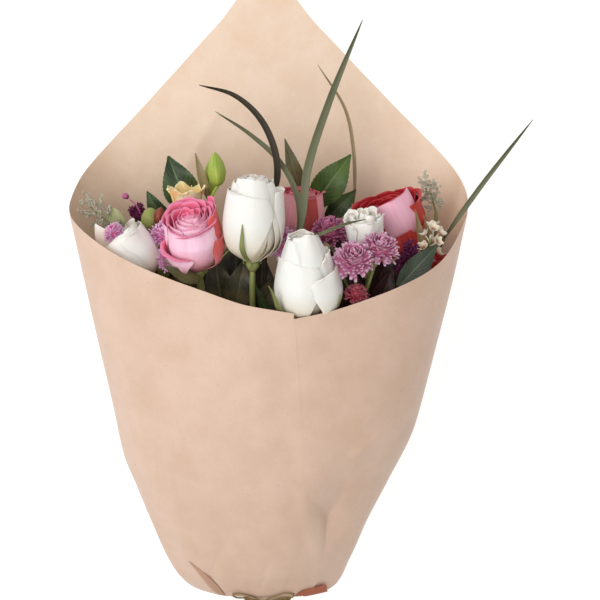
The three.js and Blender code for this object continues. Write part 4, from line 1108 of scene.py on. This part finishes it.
def make_flower(name, parts, material, slot, sepals, hug, top_radius):
    """sepals holds a row for each: where it stands in degrees, its length, its half width and its lean."""
    base, grow = STEMS[name]
    upright = standing(base, grow)
    bloom = Piece()
    for part in parts:
        bloom.add(part, upright)
    bloom.make(f"{name}_petals", material, slot, [f"{name}_bloom"])
    rng = np.random.default_rng(len(name))
    green = Piece()
    green.add(stem_tube(name, top_radius, CALYX_DROP))
    green.add(turned(CALYX_CUP, 16), upright)
    for turn, length, half, lean in sepals:
        green.add(sepal(rng, math.radians(turn), length, hug, half, lean), upright)
    green.make(f"{name}_stalk", GREEN_STEM, "green_stem", [f"{name}_stem"])


# Each sepal: where it stands in degrees, its length, half its width, and how far its tip leans out.
ROSE_SEPALS = {
    "rose_white_tall": [(341, 31, 1.9, 0.6), (126, 20, 2.2, 2), (246, 18, 2.2, 2)],
    "rose_white_front": [(314, 34, 3.0, 9), (66, 20, 2.2, 1), (186, 20, 2.4, 2)],
    "rose_pink_left": [(302, 18, 4.4, 6), (70, 16, 2.8, 6), (186, 20, 2.4, 2)],
    "rose_pink_back": [(306, 20, 2.4, 2), (66, 18, 2.4, 2), (186, 18, 2.4, 2)],
    "rose_coral_right": [(306, 20, 2.6, 3), (66, 18, 2.4, 2), (186, 18, 2.4, 2)],
    "lisianthus_left": [(330, 16, 2, 1), (100, 16, 2, 1), (215, 16, 2, 1)],
}
ROSE_FINISH = {
    "rose_white_tall": (WHITE_PETAL, "white_petal"),
    "rose_white_front": (WHITE_PETAL, "white_petal"),
    "rose_pink_left": (PINK_PETAL, "pink_petal"),
    "rose_pink_back": (DUSK_PETAL, "pink_petal"),
    "rose_coral_right": (CORAL_PETAL, "coral_petal"),
    "lisianthus_left": (WHITE_PETAL, "white_petal"),
}
ROSE_NECK_R = 2.1
THICK_NECKS = {"rose_pink_left": 2.6}
FIRST_ROSE_SEED = 3
for seed, (name, shape) in enumerate(ROSES.items(), FIRST_ROSE_SEED):
    neck_radius = THICK_NECKS.get(name, ROSE_NECK_R)
    parts = rose_parts(seed, **shape)
    make_flower(name, parts, *ROSE_FINISH[name], ROSE_SEPALS[name], shape["radius"], neck_radius)

# %% [markdown]
# ## Lisianthus
# The half hidden white bloom at the right is looser than a rose: fewer, thinner petals with a ruffled
# rim. The same petal makes it, with a bigger ruffle and hardly any roll. The one at the left is closed
# like a rose, so it is made as one.

# %% Lisianthus bloom
LISIANTHUS_RINGS = [3, 5, 5]


def lisianthus_parts(seed, radius, height):
    """A solid heart and rings of ruffled petals round it."""
    rng = np.random.default_rng(seed)
    core = [[0, 0], [3, 1], [radius * 0.5, height * 0.4], [radius * 0.5, height * 0.72], [0, height * 0.84]]
    parts = [turned(core, 16)]
    for ring, count in enumerate(LISIANTHUS_RINGS):
        q = ring / 2
        for k in range(count):
            parts.append(cupped_petal(
                rng, 2 * np.pi * k / count + ring * 0.6, mix(1.0, 0.85, q), mix(2, 4, q),
                radius * mix(0.4, 0.84, q), radius * mix(0.3, 0.9, q), height * mix(0.99, 0.84, q) - 1,
                mix(0.3, 1.0, q), 1.8, 0.6, mix(1.4, 2.2, q), 0.8 * rng.random(), columns=31))
    return parts


LISIANTHUS = dict(radius=15, height=32)
LISIANTHUS_SEPALS = [(306, 12, 2, 1), (66, 12, 2, 1), (186, 12, 2, 1)]
make_flower(
    "lisianthus_right", lisianthus_parts(seed=20, **LISIANTHUS), WHITE_PETAL, "white_petal",
    LISIANTHUS_SEPALS, hug=LISIANTHUS["radius"] * 0.8, top_radius=1.8)

# %% [markdown]
# ## Alstroemeria and freesia
# Both are funnels of six petals: three broad ones and three narrow ones between them. The yellow one
# stands behind the pink rose, on a stem that also has two green buds, and the red one is low at the
# mouth's right edge.

# %% Funnels
STAMEN_R = 0.3


def funnel_petal(rng, turn, half, radius, height, own):
    """A petal that rises from a narrow throat and bends outward at its top."""
    v = np.linspace(0, 1, 20)[:, None]
    u = np.linspace(-1, 1, 11)[None, :]
    wide = half * (0.35 + 0.95 * np.sin(np.pi * v**1.2 * 0.62)) * (1 - 0.75 * v**9)
    out = mix(2, radius * 0.66, np.sin(np.pi / 2 * np.minimum(1, 2 * v))) + radius * 0.34 * v**3
    out = out + 0.5 * np.sin(5 * u + rng.uniform(0, 6)) * v**2 - 0.8 * (1 - u**2) * v
    z = height * v - 2 * v**4 - 0.08 * height * u**2 * v**3
    angle = turn + u * wide
    grid = np.stack([out * np.cos(angle), out * np.sin(angle), z + 0 * u], -1)
    return thin_sheet(grid, PETAL_THICKNESS, own)


def funnel_parts(seed, radius, height):
    """Six petals round a small heart, and five thin stamens."""
    rng = np.random.default_rng(seed)
    parts = [turned([[0, 0], [2.2, 0.4], [3, height * 0.3], [0, height * 0.4]], 12)]
    for k in range(6):
        broad = k % 2 == 0
        parts.append(funnel_petal(
            rng, np.pi / 3 * k + 0.3, 0.72 if broad else 0.5, radius, height * (0.93 if broad else 1),
            0.8 * rng.random() if broad else ACCENT))
    for k in range(5):
        turn = 1.2 * k
        tip = [radius * 0.35 * math.cos(turn), radius * 0.35 * math.sin(turn), height * 0.86]
        line = smooth_line([[0, 0, height * 0.3], [tip[0] * 0.6, tip[1] * 0.6, height * 0.6], tip], 8)
        parts.append(tube(line, STAMEN_R, 5))
    return parts


# %% Alstroemeria
FUNNEL_NECK_R = 1.7
ALSTROEMERIA = dict(radius=14.5, height=28)
ALSTROEMERIA_RISE = 6
# Each bud: its foot, the way it points, its radius and its length.
ALSTROEMERIA_BUDS = [
    ([-33.5, 98, 80], [-0.08, 0.99, 0.05], 6.4, 25), ([-39, 89, 63], [-0.1, 0.98, 0], 4.4, 24)]
BUD_PROFILE = [
    [0, 0], [0.5, 0.05], [0.8, 0.16], [1, 0.4], [0.86, 0.66], [0.5, 0.86], [0.15, 0.97], [0, 1]]
BUD_RIB_DEPTH = 0.12


def pointed_bud(base, grow, radius, length, ribs=3):
    """A slim bud with soft ribs, in its place."""
    profile = [[r * radius, z * length] for r, z in BUD_PROFILE]
    points, faces, marks = turned(profile, 24, ribs=ribs, rib_depth=BUD_RIB_DEPTH)
    return standing(base, grow)(points), faces, marks


base, grow = stem_top("alstroemeria")
upright = standing(base + ALSTROEMERIA_RISE * grow, grow)
bloom = Piece()
for part in funnel_parts(seed=31, **ALSTROEMERIA):
    bloom.add(part, upright)
bloom.make("alstroemeria_petals", YELLOW_PETAL, "yellow_petal", ["alstroemeria_bloom"])
green = Piece()
green.add(stem_tube("alstroemeria", FUNNEL_NECK_R))
green.add(pointed_bud(base, grow, 2.6, ALSTROEMERIA_RISE - 0.4))
for at, way, radius, length in ALSTROEMERIA_BUDS:
    foot = np.array(at, float)
    bent = smooth_line([base, mix(base, foot, 0.5) - [0, 3, 0], foot + unit(way)], 12)
    green.add(tube(bent, 1.1, 8))
    green.add(pointed_bud(foot, way, radius, length))
green.make("alstroemeria_buds", LIME_BUD, "green_stem", ["alstroemeria_stem"])

# %% Freesia and round bud
SUNK = 0.6
FREESIA = dict(radius=9.5, height=30)
freesia = Piece()
base, grow = stem_top("freesia_red")
for part in funnel_parts(seed=37, **FREESIA):
    freesia.add(part, standing(base - SUNK * grow, grow))
freesia.make("freesia_petals", CORAL_PETAL, "coral_petal", ["freesia_red"])
make_piece("freesia_stalk", GREEN_STEM, "green_stem", [], stem_tube("freesia_red", FUNNEL_NECK_R))

ROUND_BUD = [[0, 0], [3, 0.6], [5.6, 3.4], [7, 8], [6.2, 12], [4, 15.4], [1.4, 16.8], [0, 17]]
round_bud = Piece()
base, grow = stem_top("bud_left")
round_bud.add(stem_tube("bud_left", FUNNEL_NECK_R))
round_bud.add(turned(ROUND_BUD, 20, ribs=5, rib_depth=0.05), standing(base - SUNK * grow, grow))
round_bud.make("round_bud", BLUSHED_BUD, "green_stem", ["bud_left"])

# %% [markdown]
# ## Button chrysanthemums
# Each head is a dome packed with short floret straps, outer ones opening out and inner ones still
# curling in. The florets are placed ring by ring from the rim to the crown, each a small cupped sheet
# with a blunt tip.

# %% Mum head
FLORET_THICKNESS = 0.22
MUM_RINGS = 9


def floret(base, way, length, width, curl, own):
    """A strap floret that starts along a way and curls towards +Z."""
    way = unit(way)
    out = unit([way[0], way[1], 0.001])
    side = np.cross([0, 0, 1], out)
    v = np.linspace(0, 1, 6)[:, None]
    u = np.linspace(-1, 1, 3)[None, :]
    rise = unit(np.array([0, 0, 1.0]) - way[2] * way)
    wide = width * (0.45 + 0.55 * np.sin(np.pi * (0.1 + 0.62 * v))) * np.where(v > 0.99, 0.62, 1)
    grid = (base + length * v[..., None] * way + (curl * length * v**2)[..., None] * rise
            + (u * wide)[..., None] * side + (0.3 * width * u**2)[..., None] * rise)
    notch = np.where(v > 0.99, 0.08 * length * (np.abs(u) - 0.5), 0)
    return thin_sheet(grid + notch[..., None] * way, FLORET_THICKNESS, own)


def mum_parts(seed, radius, height):
    """A heart, and its florets ring by ring. polar is how far they lean out from the head's axis."""
    rng = np.random.default_rng(seed)
    heart = [
        [0, 0], [radius * 0.35, 0.1], [radius * 0.62, height * 0.3], [radius * 0.5, height * 0.6],
        [0, height * 0.72]]
    parts = [turned(heart, 14, own=1)]
    for ring in range(MUM_RINGS):
        q = ring / (MUM_RINGS - 1)
        polar = mix(1.85, 0.12, q)
        count = max(5, int(round(30 * math.sin(min(polar, 1.6)) + 2)))
        for k in range(count):
            turn = 2 * math.pi * (k + 0.5 * (ring % 2)) / count + rng.uniform(-0.15, 0.15)
            tilt = polar + rng.uniform(-0.22, 0.22)
            way = np.array([
                math.sin(tilt) * math.cos(turn), math.sin(tilt) * math.sin(turn), math.cos(tilt) * 0.9])
            base = way * radius * 0.36 + [0, 0, height * 0.34]
            reach = radius * (0.72 - 0.3 * q) * rng.uniform(0.75, 1.15)
            own = ACCENT if q > 0.7 and rng.random() < 0.7 else 0.8 * rng.random()
            parts.append(floret(base, way, reach, radius * 0.085, mix(-0.1, 0.35, q), own))
    return parts


# Each head: its foot, the way it faces, its radius, its height and its colour.
MUMS = {
    "mum_left": [
        ([-69.5, 61, 100], [-0.1, 0.95, 0.3], 12, 14, "lilac"),
        ([-66, 48.5, 109], [-0.1, 0.6, 0.75], 9.5, 10.5, "lilac")],
    "mum_centre": [([12.5, 56, 98], [-0.05, 0.86, 0.5], 12.5, 14, "lilac")],
    "mum_right": [
        ([62, 50, 131], [0, 0.72, 0.7], 14, 15, "rosy"), ([79, 56.5, 127], [0.2, 0.85, 0.4], 13, 13, "rosy"),
        ([46, 64, 100], [-0.1, 0.92, 0.3], 13, 13, "plum"),
        ([63.5, 26, 130.5], [0.1, 0.92, 0.25], 8.3, 10, "crimson")],
}
MUM_FINISH = {
    "lilac": (LILAC_PETAL, "lilac_petal"),
    "rosy": (ROSY_PETAL, "lilac_petal"),
    "plum": (PLUM_PETAL, "plum_petal"),
    "crimson": (CRIMSON_PETAL, "plum_petal"),
}
MUM_NECK_R = 1.5
TUFT = dict(radius=8, height=9)
TUFT_ALONG, TUFT_ABOVE = 37.5, 3
seed = 50
for name, heads in MUMS.items():
    spray = Piece()
    spray.add(stem_tube(name, MUM_NECK_R))
    start = stem_top(name)[0]
    for k, (foot, way, radius, height, paint) in enumerate(heads):
        upright = standing(foot, way)
        head = Piece()
        for part in mum_parts(seed, radius, height):
            head.add(part, upright)
        head.make(f"{name}_florets_{k + 1}", *MUM_FINISH[paint], [f"{name}_head_{k + 1}"])
        end = np.array(foot, float) - 4 * unit(way)
        spray.add(tube(smooth_line([start, mix(start, end, 0.5) - [0, 1.5, 0], end], 12), 1, 8))
        cup = [[0, -5], [1.4, -4.6], [radius * 0.3, -1], [radius * 0.3, -0.3], [0, -0.3]]
        spray.add(turned(cup, 14), upright)
        seed += 1
    spray.make(f"{name}_shoots", GREEN_STEM, "green_stem", [f"{name}_spray"])

# A small lilac tuft shows over the left lisianthus. It has no node of its own.
base, grow = stem_top("lisianthus_left")
tuft = Piece()
for part in mum_parts(seed, **TUFT):
    tuft.add(part, standing(base + TUFT_ALONG * grow + [0, 0, TUFT_ABOVE], grow))
tuft.make("lilac_tuft", LILAC_PETAL, "lilac_petal", [])

# %% [markdown]
# ## Fillers: limonium, statice and wax flower
# These sprays are many tiny cups on thin stalks. One cup is a ring of pointed lobes, and the stalks are
# strewn round the shoot by the golden angle, so that the spray looks full from every side. Limonium is
# airier: its stalks are thin twigs with several tiny florets each.

# %% Small cups
CUP_THICKNESS = 0.2
CUP_STALK_R = 0.35
TWIG_R = 0.28
GOLDEN_ANGLE = 2.4


def small_cup(rng, base, way, stalk, radius, length, lobes=5, own=0.5):
    """A lobed cup on its own thin stalk, as two closed parts."""
    way = unit(way)
    carry = standing(base, way)
    line = smooth_line([[0, 0, 0], [0.1 * stalk, 0.05 * stalk, 0.5 * stalk], [0, 0, stalk]], 5)
    points, faces, marks = tube(line, CUP_STALK_R, 5, own)
    parts = [(carry(points), faces, marks)]
    turns = np.linspace(0, 2 * np.pi, 4 * lobes + 1)[None, :]
    v = np.linspace(0, 1, 6)[:, None]
    lobed = 0.5 + 0.5 * np.cos(lobes * turns + rng.uniform(0, 6))
    out = radius * (0.2 + 0.8 * v**0.8) * (1 - 0.25 * (1 - lobed) * v**2)
    z = stalk + length * v * (0.75 + 0.25 * lobed) - 0.12 * length * v**4
    grid = np.stack([out * np.cos(turns), out * np.sin(turns), z], -1)
    points, faces, marks = thin_sheet(grid, CUP_THICKNESS, own)
    parts.append((carry(points), faces, marks))
    return parts


def twig(rng, base, way, reach, florets, radius, length):
    """A thin bent twig with tiny florets along its outer half."""
    way = unit(way)
    side = unit(np.cross(way, [0.3, 0.2, 1]))
    end = base + reach * way
    line = smooth_line([base, mix(base, end, 0.5) + rng.uniform(-1.2, 1.2) * side, end], 12)
    parts = [tube(line, TWIG_R, 5, rng.random())]
    for k in range(florets):
        start = line[int(mix(5, 12, k / (florets - 1)))]
        out = unit(way + 0.9 * unit(rng.normal(size=3)))
        parts += small_cup(
            rng, start, out, rng.uniform(0.8, 2.2), radius * rng.uniform(0.8, 1.2), length, lobes=4,
            own=rng.random())
    return parts


# Each spray: its tip, its number of stalks, their length, and the radius and length of a cup. A spray with
# florets has twigs in place of stalks, with that many florets each.
SPRAY_NECK_R = 1.3
SPRAYS = {
    "limonium_left": dict(tip=[-126, 84, 78], count=20, stalk=11, radius=1.15, length=2.1, florets=7),
    "limonium_right": dict(tip=[118, 97, 60], count=16, stalk=10, radius=1.1, length=2.1, florets=7),
    "waxflower": dict(tip=[119, 68, 101], count=8, stalk=8, radius=5.0, length=4.6),
    "statice_left": dict(tip=[-92, 79, 72], count=40, stalk=4.6, radius=2.6, length=3.6),
    "statice_right": dict(tip=[103, 56, 104], count=50, stalk=5, radius=2.6, length=3.8),
}
SPRAY_FINISH = {
    "limonium_left": (GREY_SPRIG, "grey_sprig"),
    "limonium_right": (GREY_SPRIG, "grey_sprig"),
    "waxflower": (CREAM_PETAL, "white_petal"),
    "statice_left": (VIOLET_PETAL, "plum_petal"),
    "statice_right": (VIOLET_PETAL, "plum_petal"),
}
FIRST_SPRAY_SEED = 80
for seed, (name, shape) in enumerate(SPRAYS.items(), FIRST_SPRAY_SEED):
    rng = np.random.default_rng(seed)
    base, tip = stem_top(name)[0], np.array(shape["tip"], float)
    run = tip - base
    way = unit(run)
    side = unit(np.cross(way, [0, 0, 1]))
    over = np.cross(side, way)
    cups = Piece()
    for k in range(shape["count"]):
        turn = GOLDEN_ANGLE * k
        share = (k + 0.5) / shape["count"]
        out = math.cos(turn) * side + math.sin(turn) * over
        grow = 0.75 * way + out * rng.uniform(0.5, 0.95)
        start = base + run * share
        stalk = shape["stalk"] * rng.uniform(0.5, 1.15)
        if "florets" in shape:
            parts = twig(rng, start, grow, stalk, shape["florets"], shape["radius"], shape["length"])
        else:
            parts = small_cup(
                rng, start, grow, stalk, shape["radius"] * rng.uniform(0.8, 1.1), shape["length"],
                own=rng.random())
        for part in parts:
            cups.add(part)
    material, slot = SPRAY_FINISH[name]
    cups.make(f"{name}_cups", material, slot, [name])
    shoot = tube(smooth_line([base - way, mix(base, tip, 0.5), tip], 10), np.linspace(0.9, 0.5, 11), 7)
    make_piece(f"{name}_shoot", GREEN_STEM, "green_stem", [], stem_tube(name, SPRAY_NECK_R), shoot)

# %% [markdown]
# ## Grass and leaves
# A blade of grass is a long narrow sheet, folded along its middle, that follows a few points. A leaf is
# a broader sheet between its base and tip: it arches, folds up along the midrib and has fine teeth on
# its edge.

# %% Grass blades
BLADE_THICKNESS = 0.4
BLADE_ROWS = 60
GRASS_NECK_R = 1.4
# Each blade: half its width, and the places it passes after the end of its stem.
GRASSES = {
    "grass_left": [(2.4, [[8, 100, 89], [8, 122, 94], [-2, 146, 92], [-21, 163, 85], [-46, 170, 80]])],
    "grass_centre": [
        (2.9, [[27, 80, 107], [30, 111, 100], [46, 160, 86], [69, 215, 72]]),
        (2.0, [[24, 90, 104], [11, 116, 86], [-10, 135, 80], [-35, 151, 75]]),
        (1.4, [[37.3, 70.8, 134], [55.6, 79.4, 142], [69.8, 83.1, 144]])],
    "grass_back": [(1.3, [[65, 92, 43], [64, 121, 41], [58, 150, 38], [38, 182, 33]])],
    "grass_right": [(1.8, [[137, 76, 86], [155, 102, 88], [189, 146, 85]])],
}


def grass_blade(points, half, own):
    """A narrow sheet along a smooth line through the points, folded along its middle."""
    line, _ = even_points(smooth_line(points, 200), BLADE_ROWS)
    ways = np.gradient(line, axis=0)
    ways /= np.linalg.norm(ways, axis=1, keepdims=True)
    across = np.cross(ways, [0, 0, 1.0])
    across /= np.linalg.norm(across, axis=1, keepdims=True)
    v = np.linspace(0, 1, BLADE_ROWS)[:, None]
    u = np.linspace(-1, 1, 7)[None, :]
    wide = half * np.minimum(1, 0.35 + v * 3) * (1 - v**4 * 0.97)
    lean = 0.35 * np.sin(3 * v + own * 6)
    grid = line[:, None, :] + (u * wide)[..., None] * across[:, None, :]
    grid[..., 2] += (0.9 * np.abs(u) + lean * u) * np.ones_like(v)
    return thin_sheet(grid, BLADE_THICKNESS, own)


GRASS_FINISH = {"grass_left": DARK_GRASS, "grass_back": DRY_GRASS}
for name, blades in GRASSES.items():
    bent = [
        grass_blade([STEMS[name][0], *by], half, own=0.3 + 0.4 * k) for k, (half, by) in enumerate(blades)]
    finish = GRASS_FINISH.get(name, GRASS_BLADE)
    make_piece(f"{name}_blades", finish, "grass_blade", [name], stem_tube(name, GRASS_NECK_R), *bent)

# %% Leaves
# Each leaf: its base, its tip, the way its face looks, half its width, how much it arches, and its finish.
LEAF_THICKNESS = 0.35
LEAF_TEETH = 15
LEAF_NECK_R = 1.5
LEAVES = {
    "foliage_left": [
        ([-54, 78, 60], [-70, 118, 60], [0.1, -0.2, 1], 13, 0.12, DARK_LEAF),
        ([-68, 66, 54], [-86, 92, 56], [-0.2, -0.3, 1], 8, 0.12, DARK_LEAF)],
    "foliage_centre": [
        ([28, 84, 51], [14, 130, 56], [0, 0, 1], 6, 0.12, OLIVE_LEAF),
        ([34, 80, 46], [62, 118, 48], [-0.2, -0.3, 1], 12, 0.12, BRIGHT_LEAF),
        ([44, 70, 46], [66, 92, 46], [0, 0, 1], 7, 0.12, DARK_LEAF)],
    "foliage_right": [
        ([94, 31, 113], [121.5, 60.5, 108], [0, 0.1, 1], 8.2, 0.06, BLUE_LEAF),
        ([78, 10, 104], [90, 44, 106], [0.2, 0, 1], 8, 0.06, MAROON_LEAF),
        ([62, 8, 98], [60, 46, 96], [0, 0, 1], 9, 0.06, MAROON_LEAF)],
    "foliage_front": [
        ([-38, 2, 88], [-66, 40, 90], [-0.1, 0, 1], 11, 0.06, SHADE_LEAF),
        ([-30, 6, 84], [-36, 50, 86], [0, 0, 1], 11, 0.08, SHADE_LEAF),
        ([-22, 8, 90], [-14, 48, 88], [0, 0, 1], 10, 0.08, SHADE_LEAF),
        ([-8, -4, 78], [10, 34, 74], [0.1, 0, 1], 11, 0.06, SHADE_LEAF)],
}


def leaf(base, tip, face, half, bow, own, teeth=0.06):
    """teeth is the depth of the teeth on the edge, as a share of half the leaf's width."""
    base, tip = np.array(base, float), np.array(tip, float)
    length = np.linalg.norm(tip - base)
    grow = unit(tip - base)
    out = unit(np.array(face, float) - np.dot(face, grow) * grow)
    across = np.cross(grow, out)
    v = np.linspace(0, 1, 46)[:, None]
    u = np.linspace(-1, 1, 15)[None, :]
    wide = half * (0.06 + 0.94 * np.sin(np.pi * (0.05 + 0.95 * v) ** 0.85)) * (1 - 0.3 * v**6)
    saw = (v * LEAF_TEETH) % 1.0
    toothed = wide * (1 + teeth * (saw - 0.5) * np.abs(u) ** 6)
    wave = 0.08 * half * np.sin(11 * v + 2 * u) * np.abs(u)
    ribs = 0.1 * np.cos(2 * np.pi * (RIBS_ALONG * v - RIB_SLANT * np.abs(u))) * (1 - np.abs(u))
    ribs = ribs * np.minimum(1, 8 * np.abs(u))
    up = length * bow * np.sin(np.pi * v) + 0.25 * wide * np.abs(u) ** 1.2 + wave + ribs
    grid = base + (length * v + 0 * u)[..., None] * grow + up[..., None] * out
    return thin_sheet(grid + (toothed * u)[..., None] * across, LEAF_THICKNESS, own)


for name, leaves in LEAVES.items():
    start = stem_top(name)[0]
    shoots = Piece()
    shoots.add(stem_tube(name, LEAF_NECK_R))
    for k, (base, tip, face, half, bow, finish) in enumerate(leaves):
        blade = leaf(base, tip, face, half, bow, 0.2 + 0.2 * k)
        make_piece(f"{name}_leaf_{k + 1}", finish, "dark_leaf", [], blade)
        end = mix(np.array(base, float), np.array(tip, float), 0.12)
        shoots.add(tube(smooth_line([start, mix(start, end, 0.6) - [0, 1, 0], end], 10), 0.9, 7))
    shoots.make(f"{name}_shoots", GREEN_STEM, "dark_leaf", [name])

# %% [markdown]
# Between the flowers the photograph is dark. Plain leaves low in the mouth fill it there. They have no
# node of their own: each has a base, a tip and half a width.

# %% Fill leaves low in the mouth
LEAF_BOW = 0.06
MAROON_FROM_X = 40
FILL_LEAVES = [
    ([-58, -6, 60], [-78, 52, 62], 13), ([-40, -6, 62], [-50, 60, 58], 14),
    ([-24, 0, 56], [-20, 64, 50], 14), ([-6, -10, 60], [-2, 46, 58], 13),
    ([8, -14, 62], [24, 40, 60], 13), ([40, 0, 58], [40, 50, 56], 14),
    ([58, 0, 66], [62, 60, 62], 13), ([76, 0, 70], [88, 46, 68], 13),
    ([96, 6, 78], [110, 44, 76], 11), ([-74, 20, 72], [-98, 60, 66], 11),
    ([50, 30, 80], [56, 66, 78], 9), ([84, 20, 96], [98, 50, 92], 9),
]
for k, (base, tip, half) in enumerate(FILL_LEAVES):
    finish = SHADE_LEAF if base[0] < MAROON_FROM_X else MAROON_LEAF
    blade = leaf(base, tip, [0.1 * math.sin(5 * k), 0, 1], half, LEAF_BOW, 0.1 * k)
    make_piece(f"fill_leaf_{k + 1}", finish, "dark_leaf", [], blade)

# %% [markdown]
# A few small things show among the flowers as well: narrow leaves, one loose petal at the side of the
# left lisianthus, and a red and a lilac bud.

# %% Small leaves and buds among the flowers
# Each leaf: its base, its tip, half its width and its finish.
SMALL_LEAVES = [
    ([-41, 88, 70], [-50, 121, 70], 3.2, BROWN_LEAF), ([-101, 70, 76], [-111, 84, 77], 3.6, PALE_LEAF),
    ([-104, 71, 75], [-116, 79, 76], 3.2, PALE_LEAF), ([3, 6, 100], [-7, 32, 104], 3, DARK_LEAF),
    ([-45, 36, 121], [-69, 49, 131], 4.6, OLIVE_LEAF), ([113, 50, 96], [106, 84, 98], 2.6, BROWN_LEAF),
    ([120, 52, 94], [112, 80, 96], 2.2, BROWN_LEAF),
]
for k, (base, tip, half, finish) in enumerate(SMALL_LEAVES):
    blade = leaf(base, tip, [0.1, 0, 1], half, LEAF_BOW, 0.2 * k)
    make_piece(f"small_leaf_{k + 1}", finish, "dark_leaf", [], blade)
side_petal = leaf([-100, 49, 105], [-119, 74, 101], [-0.2, 0, 1], 8, 0.12, ACCENT, teeth=0)
make_piece("lisianthus_side_petal", WHITE_PETAL, "white_petal", [], side_petal)
red_bud = pointed_bud([-77, 72, 87], [0.3, 0.95, 0.05], 4.2, 13)
make_piece("red_bud", RED_BUD, "green_stem", [], red_bud)
lilac_bud = pointed_bud([-97, 90, 80], [-0.9, 0.4, 0], 2.2, 6)
lilac_stalk = tube(smooth_line([[-88, 76, 80], [-92, 85, 80], [-98, 90, 80]], 12), 0.5, 7)
make_piece("lilac_bud", PLUM_PETAL, "plum_petal", [], lilac_stalk, lilac_bud)

# %% [markdown]
# ## The table and the light
# The photograph has a white ground and soft light from the left, so the bouquet lies on a pale table
# under one large lamp at the left and one above it, under a pale sky.

# %% Table
table = bpy.data.objects.new("table", bpy.data.meshes.new("table"))
bpy.context.scene.collection.objects.link(table)
TABLE_HALF = 4.0
table.data.from_pydata(
    [(-TABLE_HALF, -TABLE_HALF, 0), (TABLE_HALF, -TABLE_HALF, 0), (TABLE_HALF, TABLE_HALF, 0),
     (-TABLE_HALF, TABLE_HALF, 0)], [], [(0, 1, 2, 3)])
pale = Finish(
    "pale table", Roughness=0.9, Base_Color=(0.25, 0.25, 0.25, 1), Emission_Color=(1, 1, 1, 1),
    Emission_Strength=0.85)
table.data.materials.append(pale.material)


# %% Light
LAMP_AIM = Vector((0, 0, 0.1))
SKY_COLOUR = (1, 0.95, 0.9, 1)
SKY_STRENGTH = 0.42


def lamp(name, place, size, watts, tint):
    light = bpy.data.lights.new(name, "AREA")
    light.shape, light.size, light.energy, light.color = "DISK", size, watts, tint
    made = bpy.data.objects.new(name, light)
    bpy.context.scene.collection.objects.link(made)
    made.location = place
    made.rotation_euler = (LAMP_AIM - Vector(place)).to_track_quat("-Z", "Y").to_euler()


lamp("left lamp", (-1.0, 0.6, 1.6), 1.4, 15, (1, 0.995, 0.985))
lamp("front lamp", (-0.3, -0.1, 1.9), 1.8, 15.5, (1, 0.998, 0.99))
world = bpy.data.worlds.new("sky")
bpy.context.scene.world = world
world.use_nodes = True
world.node_tree.nodes["Background"].inputs["Color"].default_value = SKY_COLOUR
world.node_tree.nodes["Background"].inputs["Strength"].default_value = SKY_STRENGTH
bpy.context.scene.view_settings.view_transform = "Standard"
